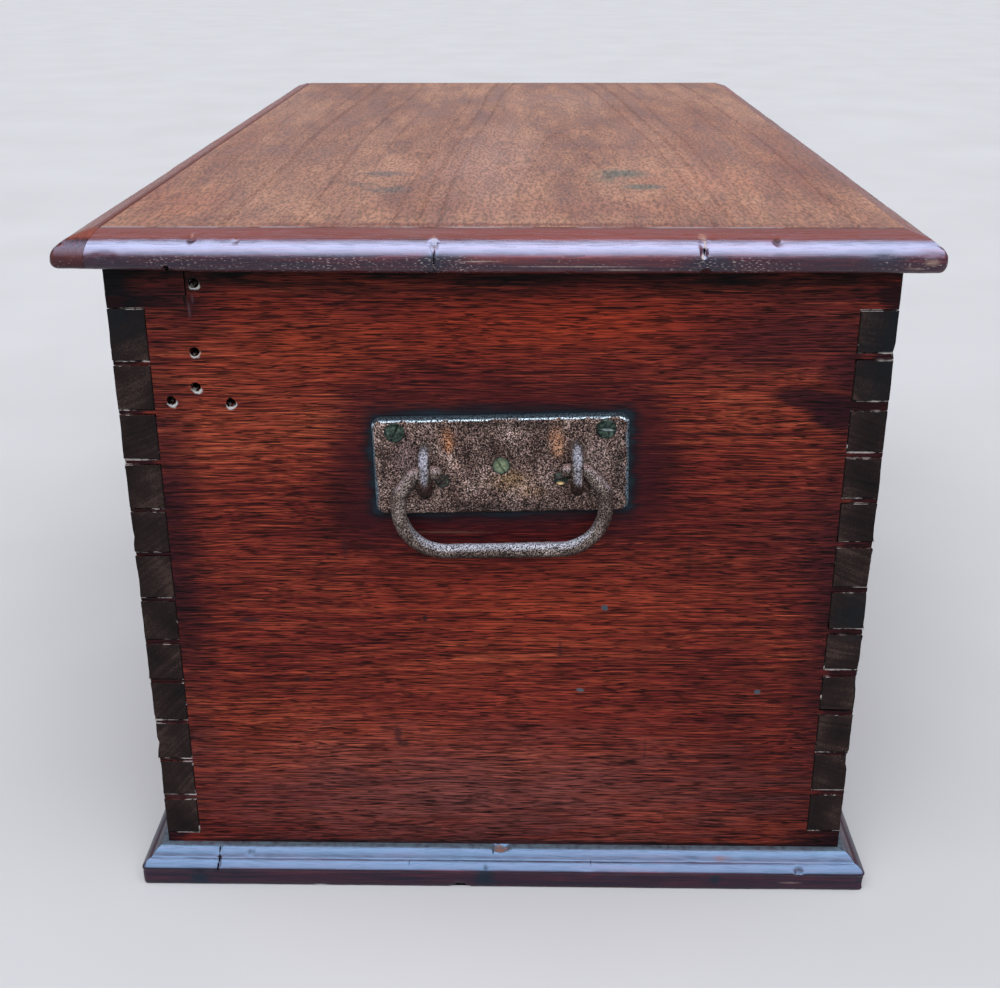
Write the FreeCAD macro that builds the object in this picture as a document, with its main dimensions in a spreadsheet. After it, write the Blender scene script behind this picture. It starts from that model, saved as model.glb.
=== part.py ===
"""Sea chest: a dovetailed hardwood case with a hinged lid, a lock, a till and two iron end handles.

Frame: +Z up, +X along the length, the lock side faces -Y. The origin is at the middle of the
footprint of the whole chest, on the floor. The lengths are in millimetres.
"""
import FreeCAD, Part
import math
import os
import re
import Sketcher

Vector = FreeCAD.Vector
document = FreeCAD.newDocument("sea_chest")

# ---------------------------------------------------------------------------------------------
# Driving sizes
# ---------------------------------------------------------------------------------------------

SIZES = (
    # the dovetailed case
    ("case_length", 802, "outside length of the case"),
    ("case_width", 454, "outside width of the case"),
    ("side_height", 409, "height of the four case boards"),
    ("board_thickness", 22, "thickness of the four case boards"),
    ("tail_count", 12, "dovetails in each corner"),
    ("top_half_pin", 28, "height of the half pin above the top tail"),
    ("front_bottom_half_pin", 17, "height of the half pin below the front tails"),
    ("back_bottom_half_pin", 23, "height of the half pin below the back tails"),
    ("front_pin_width", 2.8, "narrow side of the pins at the front corners"),
    ("back_pin_width", 4.2, "narrow side of the pins at the back corners"),
    ("tail_slope", 6, "run of a tail's cheek for each unit that it spreads"),
    # old holes and the let-in patch in the right end
    ("patch_width", 47, "width of the patch in the front top corner"),
    ("patch_height", 20, "height of the patch"),
    ("patch_depth", 12, "depth that the patch is let in"),
    ("old_hole_radius", 2.7, "radius of the old holes"),
    ("old_hole_depth", 16, "depth of the old holes"),
    ("old_hole_1_across", 49, "old hole 1, from the front corner"),
    ("old_hole_1_down", 53.5, "old hole 1, from the case's top edge"),
    ("old_hole_2_across", 48, "old hole 2, from the front corner"),
    ("old_hole_2_down", 75, "old hole 2, from the case's top edge"),
    ("old_hole_3_across", 32.5, "old hole 3, from the front corner"),
    ("old_hole_3_down", 83.5, "old hole 3, from the case's top edge"),
    ("old_hole_4_across", 67.5, "old hole 4, from the front corner"),
    ("old_hole_4_down", 84.5, "old hole 4, from the case's top edge"),
    ("old_hole_5_across", 52, "old hole 5, from the front corner"),
    ("old_hole_5_down", 13, "old hole 5, from the case's top edge"),
    # the bottom
    ("bottom_thickness", 14, "thickness of the bottom boards"),
    ("bottom_gap", 0.5, "shrinkage gap between bottom boards"),
    # the skirting
    ("skirting_height", 24, "height of the skirting"),
    ("skirting_projection", 16, "how far the skirting stands out from the case"),
    ("skirting_ledge", 2, "flat ledge at the top of the skirting"),
    ("skirting_bead_radius", 5, "radius of the skirting's bead"),
    ("skirting_bead_height", 17, "top of the skirting's bead"),
    ("skirting_bead_width", 7, "width of the skirting's bead"),
    # the lid
    ("lid_seat_gap", 0.3, "gap between the closed lid and the case"),
    ("lid_thickness", 19, "thickness of the lid board"),
    ("lid_inset", 2, "how far the lid board stops inside the case's faces"),
    ("front_overhang", 24.5, "width of the lid's front moulding"),
    ("back_overhang", 20, "width of the lid's back moulding"),
    ("end_overhang", 22, "width of the lid's end mouldings"),
    ("moulding_step", 1.5, "how far the mouldings lie below the lid's face"),
    ("moulding_round", 13, "radius of the mouldings' upper edge"),
    ("moulding_nose", 2.5, "radius of the mouldings' lower edge"),
    ("lip_drop", 3, "how far the mouldings hang below the case's top edge"),
    ("lip_gap", 0.6, "gap between that lip and the case"),
    # the till
    ("till_width", 125, "clear width of the till"),
    ("till_depth", 118, "height of the till's side"),
    ("till_down", 24, "from the case's top edge to the till's side"),
    ("till_board", 10, "thickness of the till's boards"),
    ("till_housing", 6, "depth of the grooves that hold the till"),
    # wood screws and nails
    ("driven_fit", 0.05, "clearance round a screw or nail"),
    ("slot_width", 1.2, "width of a screw's slot"),
    ("slot_depth", 1.1, "depth of a screw's slot"),
    ("handle_screw_head", 11.8, "head diameter of the handles' upper screws"),
    ("centre_screw_head", 10.4, "head diameter of the handles' middle screw"),
    ("lower_screw_head", 8.2, "head diameter of the handles' lower screws"),
    ("handle_screw_shank", 4.6, "shank diameter of the handles' screws"),
    ("handle_screw_length", 20, "length of the handles' screws"),
    ("small_screw_head", 7.6, "head diameter of the hinge and lock screws"),
    ("small_screw_shank", 3.6, "shank diameter of the hinge and lock screws"),
    ("small_screw_length", 13, "length of the hinge and lock screws"),
    ("nail_head", 3.6, "head diameter of a nail"),
    ("nail_head_height", 1.2, "height of a nail's head"),
    ("nail_shank", 2.4, "shank diameter of a nail"),
    ("nail_set", 2, "how far the nails are punched below the wood's face"),
    ("skirting_nail_length", 28, "length of the skirting nails"),
    ("skirting_nail_height", 8, "height of the skirting nails above the floor"),
    ("lid_nail_length", 38, "length of the lid moulding's nails"),
    ("lid_nail_height", 6, "height of those nails above the lid's underside"),
    ("bottom_nail_length", 34, "length of the bottom nails"),
    ("long_nail_spacing", 176, "spacing of the nails along the front and back"),
    ("end_nail_spacing", 143, "spacing of the nails along the lid's ends"),
    ("end_nail_offset", -34, "middle nail of the lid's ends, from the middle"),
    ("skirting_end_spacing", 172, "spacing of the nails along the skirting's ends"),
    ("skirting_end_offset", -25, "middle nail of the skirting's ends, from the middle"),
    # the hinges
    ("hinge_offset", 215, "from the middle of the chest to each hinge"),
    ("hinge_width", 36, "width of a hinge"),
    ("hinge_plate", 3, "thickness of the hinge plates"),
    ("knuckle_radius", 4.5, "radius of the hinge knuckles"),
    ("knuckle_gap", 0.4, "gap between the knuckles and round them"),
    ("knuckle_standoff", 0.5, "gap between a knuckle and the case's back"),
    ("hinge_pin_radius", 2, "radius of the hinge pins"),
    ("hinge_fit", 0.06, "clearance round the hinge pins"),
    ("strap_length", 150, "length of the lid straps from the hinge axis"),
    ("leaf_drop", 92, "length of the case leaf inside the back"),
    # the end handles
    ("handle_height", 301, "middle of the handle plates above the floor"),
    ("handle_tilt", 1.4, "how far the handles are turned out of level, in degrees"),
    ("plate_width", 152.4, "width of a handle plate"),
    ("plate_height", 62, "height of a handle plate"),
    ("plate_thickness", 4.5, "thickness of a handle plate"),
    ("plate_corner", 6, "corner radius of a handle plate"),
    ("plate_bevel", 1.6, "bevel round a handle plate"),
    ("upper_screw_across", 62.5, "upper screws, from the plate's middle"),
    ("upper_screw_up", 22, "upper screws, above the plate's middle"),
    ("lower_screw_across", 35.5, "lower screws, from the plate's middle"),
    ("lower_screw_down", 9, "lower screws, below the plate's middle"),
    ("eye_across", 45, "eyes, from the plate's middle"),
    ("eye_up", 1.5, "middle of the eyes above the plate's middle"),
    ("eye_wire", 3.25, "radius of the bar that the eyes are bent from"),
    ("eye_half_height", 11, "from the middle of an eye to the middle of its bar"),
    ("eye_reach", 18, "how far the eyes stand out from the plate"),
    ("eye_bend", 9, "bend radius of the eyes"),
    ("bail_rod", 4.5, "radius of the bail's rod"),
    ("bail_gap", 0.3, "gap between the bail's ends and the eyes"),
    ("bail_stand_off", 6.5, "from the plate to the middle of the bail's rod"),
    ("bail_end", 35, "from the middle to each end of the bail's rod"),
    ("bail_neck", 50, "from the middle to each neck of the bail"),
    ("bail_half_width", 62, "from the middle to the bail's sides"),
    ("bail_shoulder", 14, "from the pivot down to the bail's shoulders"),
    ("bail_drop", 51, "from the pivot down to the bail's bar"),
    ("bail_neck_bend", 6, "bend radius of the necks"),
    ("bail_shoulder_bend", 8, "bend radius of the shoulders"),
    ("bail_corner_bend", 28, "bend radius of the lower corners"),
    # the lock
    ("lock_width", 72, "width of the lock's case"),
    ("lock_height", 60, "height of the lock's case"),
    ("lock_depth", 11, "depth that the lock is let into the front"),
    ("lock_wall", 2, "thickness of the lock's plates"),
    ("lock_flange", 10, "width of the cover plate's flanges"),
    ("bolt_fit", 0.3, "clearance round the bolt"),
    ("bolt_top", 17, "from the case's top edge to the bolt's bar"),
    ("bolt_height", 10, "height of the bolt's bar"),
    ("bolt_length", 38, "length of the bolt's bar"),
    ("finger_width", 6, "width of the bolt's uprights"),
    ("finger_reach", 6, "length of the bolt's fingers"),
    ("finger_thickness", 3.2, "thickness of the bolt's fingers"),
    ("finger_height", 4, "height of the bolt's fingers"),
    ("loop_across", 16, "catch loops, from the middle"),
    ("loop_length", 14, "how far the catch loops hang below the lid"),
    ("loop_width", 4, "width of the catch loops along the chest"),
    ("loop_thickness", 7.2, "thickness of the catch loops"),
    ("loop_eye_top", 5, "from the case's top edge to the loops' eyes"),
    ("loop_eye_height", 6.5, "height of the loops' eyes"),
    ("loop_eye_width", 4, "width of the loops' eyes"),
    ("loop_clearance", 0.7, "clearance between the loops and the lock's slots"),
    ("catch_length", 66, "length of the catch plate"),
    ("catch_width", 18, "width of the catch plate"),
    ("catch_plate", 2.5, "thickness of the catch plate"),
    ("keyhole_down", 36, "from the case's top edge to the keyhole's round"),
    ("keyhole_radius", 3.4, "radius of the keyhole's round"),
    ("keyhole_slot_width", 3, "width of the keyhole's slot"),
    ("keyhole_slot_drop", 12, "from the keyhole's round to its lower end"),
    ("escutcheon_wall", 4, "width of the metal round the keyhole"),
    ("escutcheon_depth", 3, "depth that the escutcheon is let in"),
)

sheet = document.addObject("Spreadsheet::Sheet", "sizes")
for row, (size_name, size_value, meaning) in enumerate(SIZES, start=1):
    sheet.set(f"A{row}", size_name)
    sheet.set(f"B{row}", str(size_value))
    sheet.set(f"C{row}", meaning)
    sheet.setAlias(f"B{row}", size_name)
document.recompute()
SIZE_NAMES = {size_name for size_name, size_value, meaning in SIZES}

# Places that several pieces share, as formulas of the driving sizes.
MIDDLE = "((front_overhang - back_overhang) / 2)"
FRONT_FACE = f"({MIDDLE} - case_width / 2)"
BACK_FACE = f"({MIDDLE} + case_width / 2)"
FRONT_INSIDE = f"({FRONT_FACE} + board_thickness)"
BACK_INSIDE = f"({BACK_FACE} - board_thickness)"
END_FACE = "(case_length / 2)"
END_INSIDE = f"({END_FACE} - board_thickness)"
CASE_TOP = "(bottom_thickness + side_height)"
LID_UNDERSIDE = f"({CASE_TOP} + lid_seat_gap)"


# ---------------------------------------------------------------------------------------------
# Helpers
# ---------------------------------------------------------------------------------------------

def formula(text):
    """The text with each size's name pointing at the spreadsheet."""
    return re.sub(r"[a-z_][a-z_0-9]*",
                  lambda word: "sizes." + word[0] if word[0] in SIZE_NAMES else word[0],
                  str(text))


def value(text):
    """The number that a formula gives now."""
    return float(sheet.evalExpression(formula(text)))


def bind(thing, **formulas):
    """Bind the named properties of an object to formulas."""
    for name, text in formulas.items():
        thing.setExpression(name, formula(text))
    return thing


def frame_at(x="0", y="0", z="0", yaw="0", pitch="0", roll="0"):
    """A placement formula: turned by the three angles, then moved."""
    return f"placement(vector({x}; {y}; {z}); rotation({yaw}; {pitch}; {roll}))"


CHEST = frame_at()


def place(thing, frame=CHEST, spin="0", **spot):
    """Bind an object's Placement to a spot in a frame: spin turns it about its own Z axis first."""
    thing.setExpression("Placement", formula(f"{frame} * {frame_at(**spot)} * {frame_at(yaw=spin)}"))
    return thing


def box(name, x, y, z, frame=CHEST):
    """A box between two formulas on each axis of a frame."""
    block = document.addObject("Part::Box", name)
    bind(block, Length=f"{x[1]} - ({x[0]})", Width=f"{y[1]} - ({y[0]})", Height=f"{z[1]} - ({z[0]})")
    return place(block, frame, x=x[0], y=y[0], z=z[0])


def rod_along_x(name, radius, x, y="0", z="0", frame=CHEST):
    """A round bar that runs along X between two formulas."""
    bar = document.addObject("Part::Cylinder", name)
    bind(bar, Radius=radius, Height=f"{x[1]} - ({x[0]})")
    return place(bar, frame, x=x[0], y=y, z=z, pitch="90")


def join(name, *pieces):
    """One solid made of several that overlap or touch."""
    joined = document.addObject("Part::MultiFuse", name)
    joined.Shapes = list(pieces)
    joined.Refine = True
    return joined


def carve(name, stock, *tools):
    """The stock with each tool cut away in turn."""
    for number, tool in enumerate(tools, start=1):
        last = number == len(tools)
        result = document.addObject("Part::Cut", name if last else f"{name}_cut_{number}")
        result.Base = stock
        result.Tool = tool
        stock = result
    return stock


def scatter(name, master, spots, frame=CHEST):
    """Copies of one object at several spots of a frame, each spot the arguments of place."""
    copies = []
    for number, spot in enumerate(spots, start=1):
        copy = document.addObject("App::Link", f"{name}_{number}")
        copy.LinkedObject = master
        copies.append(place(copy, frame, **spot))
    group = document.addObject("Part::Compound", name)
    group.Links = copies
    return group


def origin_plane(body, role):
    """One of a body's own three planes."""
    return next(plane for plane in body.Origin.OriginFeatures if plane.Role == role)


def pin_to(sketch, element, point, x, y):
    """Hold a sketch point at two formulas from the sketch's origin."""
    for kind, text in (("DistanceX", x), ("DistanceY", y)):
        number = sketch.addConstraint(Sketcher.Constraint(kind, -1, 1, element, point, value(text)))
        sketch.setExpression(f"Constraints[{number}]", formula(text))


def corner_arc(sketch, corner, before_point, after_point, radius, before, after):
    """Round a corner between two lines with a tangent arc, and keep the corner as a point."""
    to_before = (before_point - corner).normalize()
    to_after = (after_point - corner).normalize()
    half_angle = to_before.getAngle(to_after) / 2
    centre = corner + (to_before + to_after).normalize() * (value(radius) / math.sin(half_angle))
    tangent = value(radius) / math.tan(half_angle)
    start = corner + to_before * tangent - centre
    end = corner + to_after * tangent - centre
    clockwise = start.cross(end).z < 0
    if clockwise:
        start, end = end, start
    circle = Part.Circle(centre, Vector(0, 0, 1), value(radius))
    arc = sketch.addGeometry(
        Part.ArcOfCircle(circle, math.atan2(start.y, start.x), math.atan2(end.y, end.x)), False)
    first, second = (2, 1) if clockwise else (1, 2)
    sketch.addConstraint(Sketcher.Constraint("Tangent", before, 2, arc, first))
    sketch.addConstraint(Sketcher.Constraint("Tangent", arc, second, after, 1))
    number = sketch.addConstraint(Sketcher.Constraint("Radius", arc, value(radius)))
    sketch.setExpression(f"Constraints[{number}]", formula(radius))
    mark = sketch.addGeometry(Part.Point(corner), True)
    sketch.addConstraint(Sketcher.Constraint("PointOnObject", mark, 1, before))
    sketch.addConstraint(Sketcher.Constraint("PointOnObject", mark, 1, after))
    return mark


def rounded_end(corners, points, number, towards):
    """Where the line from one corner towards another starts, past the corner's arc."""
    corner = points[number]
    if len(corners[number]) < 3:
        return corner
    along = (towards - corner).normalize()
    other = points[number - 1] if towards == points[(number + 1) % len(points)] else points[
        (number + 1) % len(points)]
    half_angle = along.getAngle(other - corner) / 2
    return corner + along * (value(corners[number][2]) / math.tan(half_angle))


def draw(sketch, corners, closed=True):
    """Straight lines through corners (x, y), or (x, y, radius) where a corner is rounded."""
    points = [Vector(value(corner[0]), value(corner[1]), 0) for corner in corners]
    count = len(points)
    lines = []
    for number in range(count if closed else count - 1):
        following = (number + 1) % count
        start = rounded_end(corners, points, number, points[following])
        end = rounded_end(corners, points, following, points[number])
        lines.append(sketch.addGeometry(Part.LineSegment(start, end), False))
    for number, corner in enumerate(corners):
        starts = lines[number] if number < len(lines) else None
        ends = lines[number - 1] if closed or number > 0 else None
        if len(corner) == 3:
            following = points[(number + 1) % count]
            mark = corner_arc(sketch, points[number], points[number - 1], following,
                              corner[2], ends, starts)
            pin_to(sketch, mark, 1, corner[0], corner[1])
            continue
        if starts is not None and ends is not None:
            sketch.addConstraint(Sketcher.Constraint("Coincident", ends, 2, starts, 1))
        if starts is not None:
            pin_to(sketch, starts, 1, corner[0], corner[1])
        else:
            pin_to(sketch, ends, 2, corner[0], corner[1])


def sketch_on(body, role, name):
    """An empty sketch on one of a body's own planes."""
    sketch = body.newObject("Sketcher::SketchObject", name)
    sketch.AttachmentSupport = (origin_plane(body, role), "")
    sketch.MapMode = "FlatFace"
    return sketch


def outline(body, role, name, *loops, closed=True):
    """A sketch of one or more outlines, each a list of corners."""
    sketch = sketch_on(body, role, name)
    for corners in loops:
        draw(sketch, corners, closed)
    return sketch


def circle_on(body, role, name, radius, x="0", y="0", offset="0"):
    """A sketch of one circle, moved along its plane's normal by the offset."""
    sketch = sketch_on(body, role, name)
    bind(sketch, **{"AttachmentOffset.Base.z": offset})
    centre = Vector(value(x), value(y), 0)
    ring = sketch.addGeometry(Part.Circle(centre, Vector(0, 0, 1), value(radius)), False)
    pin_to(sketch, ring, 3, x, y)
    number = sketch.addConstraint(Sketcher.Constraint("Radius", ring, value(radius)))
    sketch.setExpression(f"Constraints[{number}]", formula(radius))
    return sketch


def rectangle(x, y, *radius):
    """The four corners of a rectangle between two formulas on each axis."""
    return [(x[0], y[0], *radius), (x[1], y[0], *radius), (x[1], y[1], *radius), (x[0], y[1], *radius)]


def body_named(name):
    """An empty body."""
    return document.addObject("PartDesign::Body", name)


def pad(body, name, sketch, length, midplane=False):
    """Extrude a sketch by a formula."""
    feature = body.newObject("PartDesign::Pad", name)
    feature.Profile = sketch
    feature.Midplane = midplane
    return bind(feature, Length=length)


def pocket_through(body, name, sketch):
    """Cut a sketch through the body, to both sides of its plane."""
    feature = body.newObject("PartDesign::Pocket", name)
    feature.Profile = sketch
    feature.Type = "ThroughAll"
    feature.Midplane = True
    return feature


def edges_where(shape, test):
    """Names of a shape's edges that pass a test."""
    return [f"Edge{number}" for number, edge in enumerate(shape.Edges, start=1) if test(edge)]


def swept_rod(name, plane_role, corners, radius, start_role, start_x, start_y, start_offset="0"):
    """A round rod bent along a path of straight runs and tangent arcs."""
    body = body_named(name)
    path = outline(body, plane_role, f"{name}_path", corners, closed=False)
    end = circle_on(body, start_role, f"{name}_end", radius, start_x, start_y, start_offset)
    pipe = body.newObject("PartDesign::AdditivePipe", f"{name}_rod")
    pipe.Profile = end
    pipe.Spine = path
    return body


# ---------------------------------------------------------------------------------------------
# Screws and nails
# ---------------------------------------------------------------------------------------------

def turned(name, corners):
    """A body turned about Z from half its outline."""
    body = body_named(name)
    half = outline(body, "XZ_Plane", f"{name}_half", corners)
    feature = body.newObject("PartDesign::Revolution", f"{name}_turning")
    feature.Profile = half
    feature.ReferenceAxis = (half, ["V_Axis"])
    feature.Angle = 360
    return body


def screw(name, head, shank, length):
    """A slotted countersunk wood screw, head up at the origin, and the bore that it needs."""
    cone = f"(({head}) - ({shank})) / 2"
    body = turned(name, [("0", "0"), (f"{head} / 2", "0"), (f"{shank} / 2", f"-{cone}"),
                         (f"{shank} / 2", f"{shank} - {length}"), ("0", f"-{length}")])
    slot = outline(body, "XY_Plane", f"{name}_slot",
                   rectangle((f"-{head}", head), ("-slot_width / 2", "slot_width / 2")))
    groove = body.newObject("PartDesign::Pocket", f"{name}_groove")
    groove.Profile = slot
    bind(groove, Length="slot_depth")
    bore = turned(f"{name}_bore", [
        ("0", "1"), (f"{head} / 2 + driven_fit", "1"), (f"{head} / 2 + driven_fit", "0"),
        (f"{shank} / 2 + driven_fit", f"-{cone}"),
        (f"{shank} / 2 + driven_fit", f"-{length} - driven_fit"),
        ("0", f"-{length} - driven_fit")])
    return body, bore


def nail(name, length):
    """A nail punched below the origin, head up, and the hole that it makes."""
    neck = "-nail_set - nail_head_height"
    body = turned(name, [
        ("0", "-nail_set"), ("nail_head / 2", "-nail_set"), ("nail_head / 2", neck),
        ("nail_shank / 2", neck), ("nail_shank / 2", f"2 * nail_shank - {length}"),
        ("0", f"-{length}")])
    bore = turned(f"{name}_bore", [
        ("0", "1"), ("nail_head / 2 + driven_fit", "1"),
        ("nail_head / 2 + driven_fit", f"{neck} - driven_fit"),
        ("nail_shank / 2 + driven_fit", f"{neck} - driven_fit"),
        ("nail_shank / 2 + driven_fit", f"-{length} - driven_fit"), ("0", f"-{length} - driven_fit")])
    return body, bore


upper_screw, upper_bore = screw("upper_screw", "handle_screw_head", "handle_screw_shank",
                                "handle_screw_length")
centre_screw, centre_bore = screw("centre_screw", "centre_screw_head", "handle_screw_shank",
                                  "handle_screw_length")
lower_screw, lower_bore = screw("lower_screw", "lower_screw_head", "handle_screw_shank",
                                "handle_screw_length")
small_screw, small_bore = screw("small_screw", "small_screw_head", "small_screw_shank",
                                "small_screw_length")
skirting_nail, skirting_bore = nail("skirting_nail", "skirting_nail_length")
lid_nail, lid_bore = nail("lid_nail", "lid_nail_length")
bottom_nail, bottom_bore = nail("bottom_nail", "bottom_nail_length")


def nails_round(distance_x, front, back, height, end_spacing, end_offset):
    """Spots of the nails driven in level from the front, the back and both ends."""
    spots = []
    for step in (-2, -1, 0, 1, 2):
        along = f"{step} * long_nail_spacing"
        spots.append(dict(x=along, y=front, z=height, roll="90"))
        spots.append(dict(x=along, y=back, z=height, roll="-90"))
    for step in (-1, 0, 1):
        across = f"{MIDDLE} + {end_offset} + {step} * {end_spacing}"
        spots.append(dict(x=distance_x, y=across, z=height, pitch="90"))
        spots.append(dict(x=f"-({distance_x})", y=across, z=height, pitch="-90"))
    return spots


SKIRTING_NAILS = nails_round(
    f"{END_FACE} + skirting_projection", f"{FRONT_FACE} - skirting_projection",
    f"{BACK_FACE} + skirting_projection", "skirting_nail_height",
    "skirting_end_spacing", "skirting_end_offset")
LID_NAILS = nails_round(
    f"{END_FACE} - lid_inset + end_overhang", f"{FRONT_FACE} + lid_inset - front_overhang",
    f"{BACK_FACE} - lid_inset + back_overhang", f"{LID_UNDERSIDE} + lid_nail_height",
    "end_nail_spacing", "end_nail_offset")
BOTTOM_NAILS = []
for step in (-1.5, -0.5, 0.5, 1.5):
    for face, inward in ((FRONT_FACE, 1), (BACK_FACE, -1)):
        BOTTOM_NAILS.append(dict(x=f"{step} * long_nail_spacing", roll="180",
                                 y=f"{face} + {inward} * board_thickness / 2", z="0"))
for side in (1, -1):
    for step in (-1, 1):
        BOTTOM_NAILS.append(dict(x=f"{side} * ({END_FACE} - board_thickness / 2)", roll="180",
                                 y=f"{MIDDLE} + {step} * case_width / 4", z="0"))

skirting_nails = scatter("skirting_nails", skirting_nail, SKIRTING_NAILS)
skirting_bores = scatter("skirting_bores", skirting_bore, SKIRTING_NAILS)
lid_moulding_nails = scatter("lid_moulding_nails", lid_nail, LID_NAILS)
lid_bores = scatter("lid_bores", lid_bore, LID_NAILS)
bottom_nails = scatter("bottom_nails", bottom_nail, BOTTOM_NAILS)
bottom_bores = scatter("bottom_bores", bottom_bore, BOTTOM_NAILS)


# ---------------------------------------------------------------------------------------------
# Hinges: a strap let into the lid, a leaf bent over the back board, and a pin
# ---------------------------------------------------------------------------------------------

AXIS_OUT = "(knuckle_radius + knuckle_standoff)"
AXIS_Y = f"({BACK_FACE} + {AXIS_OUT})"
AXIS_Z = f"({CASE_TOP} + lid_seat_gap / 2)"
HALF_HINGE = "(hinge_width / 2)"
LEAF_TOP = "(-lid_seat_gap / 2)"
STRAP_UNDER = "(lid_seat_gap / 2)"
LEAF_INSIDE = f"(-{AXIS_OUT} - board_thickness)"
RELIEF = "(knuckle_radius + knuckle_gap)"


def hinge(side, along):
    """One hinge in a frame on its own axis: X along the pin, Z up."""
    frame = frame_at(x=along, y=AXIS_Y, z=AXIS_Z)
    width = (f"-{HALF_HINGE}", HALF_HINGE)
    beyond = "(2 * knuckle_radius)"
    middle_end = "(hinge_width / 6)"
    round_axis = ((f"-{RELIEF}", beyond), (f"-{beyond}", beyond))
    pin_bore = rod_along_x(f"{side}_pin_bore", "hinge_pin_radius + hinge_fit",
                           (f"-{HALF_HINGE} - 1", f"{HALF_HINGE} + 1"), frame=frame)

    leaf_over = box(f"{side}_leaf_over", width, (LEAF_INSIDE, "0"),
                    (f"{LEAF_TOP} - hinge_plate", LEAF_TOP), frame)
    leaf_down = box(f"{side}_leaf_down", width, (LEAF_INSIDE, f"{LEAF_INSIDE} + hinge_plate"),
                    (f"{LEAF_TOP} - leaf_drop", LEAF_TOP), frame)
    leaf_bar = rod_along_x(f"{side}_leaf_bar", "knuckle_radius", width, frame=frame)
    leaf_relief = box(f"{side}_leaf_relief",
                      (f"-{middle_end} - knuckle_gap / 2", f"{middle_end} + knuckle_gap / 2"),
                      *round_axis, frame)
    leaf_spots = [dict(y=LEAF_INSIDE, z=f"{LEAF_TOP} - leaf_drop * {share}", roll="90", spin=spin)
                  for share, spin in ((0.25, 20), (0.55, 75), (0.85, -35))]
    leaf_bores = scatter(f"{side}_leaf_bores", small_bore, leaf_spots, frame)
    leaf_stock = join(f"{side}_leaf_stock", leaf_over, leaf_down, leaf_bar)
    leaf = carve(f"{side}_hinge_leaf", leaf_stock, leaf_relief, pin_bore, leaf_bores)

    strap_plate = box(f"{side}_strap_plate", width, ("-strap_length", "0"),
                      (STRAP_UNDER, f"{STRAP_UNDER} + hinge_plate"), frame)
    strap_bar = rod_along_x(f"{side}_strap_bar", "knuckle_radius", width, frame=frame)
    strap_reliefs = [
        box(f"{side}_strap_relief_left", (f"-{HALF_HINGE} - 1", f"knuckle_gap / 2 - {middle_end}"),
            *round_axis, frame),
        box(f"{side}_strap_relief_right", (f"{middle_end} - knuckle_gap / 2", f"{HALF_HINGE} + 1"),
            *round_axis, frame)]
    strap_spots = [dict(y=f"-strap_length * {share}", z=STRAP_UNDER, roll="180", spin=spin)
                   for share, spin in ((0.22, 10), (0.45, 60), (0.68, -20), (0.91, 85))]
    strap_bores = scatter(f"{side}_strap_bores", small_bore, strap_spots, frame)
    strap_stock = join(f"{side}_strap_stock", strap_plate, strap_bar)
    strap = carve(f"{side}_hinge_strap", strap_stock, *strap_reliefs, pin_bore, strap_bores)

    notch = box(f"{side}_knuckle_notch",
                (f"-{HALF_HINGE} - knuckle_gap", f"{HALF_HINGE} + knuckle_gap"),
                (f"-{AXIS_OUT} - lid_inset - 1", f"{RELIEF} + knuckle_gap"), ("-1", RELIEF), frame)
    return {
        "leaf": leaf,
        "strap": strap,
        "pin": rod_along_x(f"{side}_hinge_pin", "hinge_pin_radius", width, frame=frame),
        "leaf_screws": scatter(f"{side}_leaf_screws", small_screw, leaf_spots, frame),
        "strap_screws": scatter(f"{side}_strap_screws", small_screw, strap_spots, frame),
        "in_back_board": [leaf_over, leaf_down, leaf_bores],
        "in_lid_board": [strap_plate, strap_bores],
        "in_back_moulding": [strap_plate, notch],
    }


hinges = {"left": hinge("left", "-hinge_offset"), "right": hinge("right", "hinge_offset")}
hinge_leaf_screws = document.addObject("Part::Compound", "hinge_leaf_screws")
hinge_leaf_screws.Links = [parts["leaf_screws"] for parts in hinges.values()]
hinge_strap_screws = document.addObject("Part::Compound", "hinge_strap_screws")
hinge_strap_screws.Links = [parts["strap_screws"] for parts in hinges.values()]


# ---------------------------------------------------------------------------------------------
# Lock: a case let into the front with a cover plate, a sliding bolt, the catch on the lid
# and the metal round the keyhole
# ---------------------------------------------------------------------------------------------

LOCK = frame_at(y=FRONT_INSIDE, z=CASE_TOP)
LOCK_MIDDLE = "((lock_wall - lock_depth) / 2)"
LOCK_SPAN = ("-lock_width / 2", "lock_width / 2")

lock_shell = box("lock_shell", LOCK_SPAN, ("-lock_depth", "0"), ("-lock_height", "0"), LOCK)
lock_room = box("lock_room", ("lock_wall - lock_width / 2", "lock_width / 2 - lock_wall"),
                ("lock_wall - lock_depth", "1"), ("lock_wall - lock_height", "-lock_wall"), LOCK)
bolt_shelf = box("bolt_shelf", ("lock_wall - lock_width / 2", "lock_width / 2 - lock_wall"),
                 ("lock_wall - lock_depth", "0"),
                 ("-bolt_top - bolt_height - bolt_fit - lock_wall",
                  "-bolt_top - bolt_height - bolt_fit"), LOCK)
loop_slots = [
    box(f"loop_slot_{number}",
        (f"{side} * loop_across - loop_width / 2 - loop_clearance",
         f"{side} * loop_across + loop_width / 2 + loop_clearance"),
        (f"{LOCK_MIDDLE} - loop_thickness / 2 - loop_clearance",
         f"{LOCK_MIDDLE} + loop_thickness / 2 + loop_clearance"),
        ("-lock_wall - 1", "1"), LOCK)
    for number, side in enumerate((-1, 1), start=1)]

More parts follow.
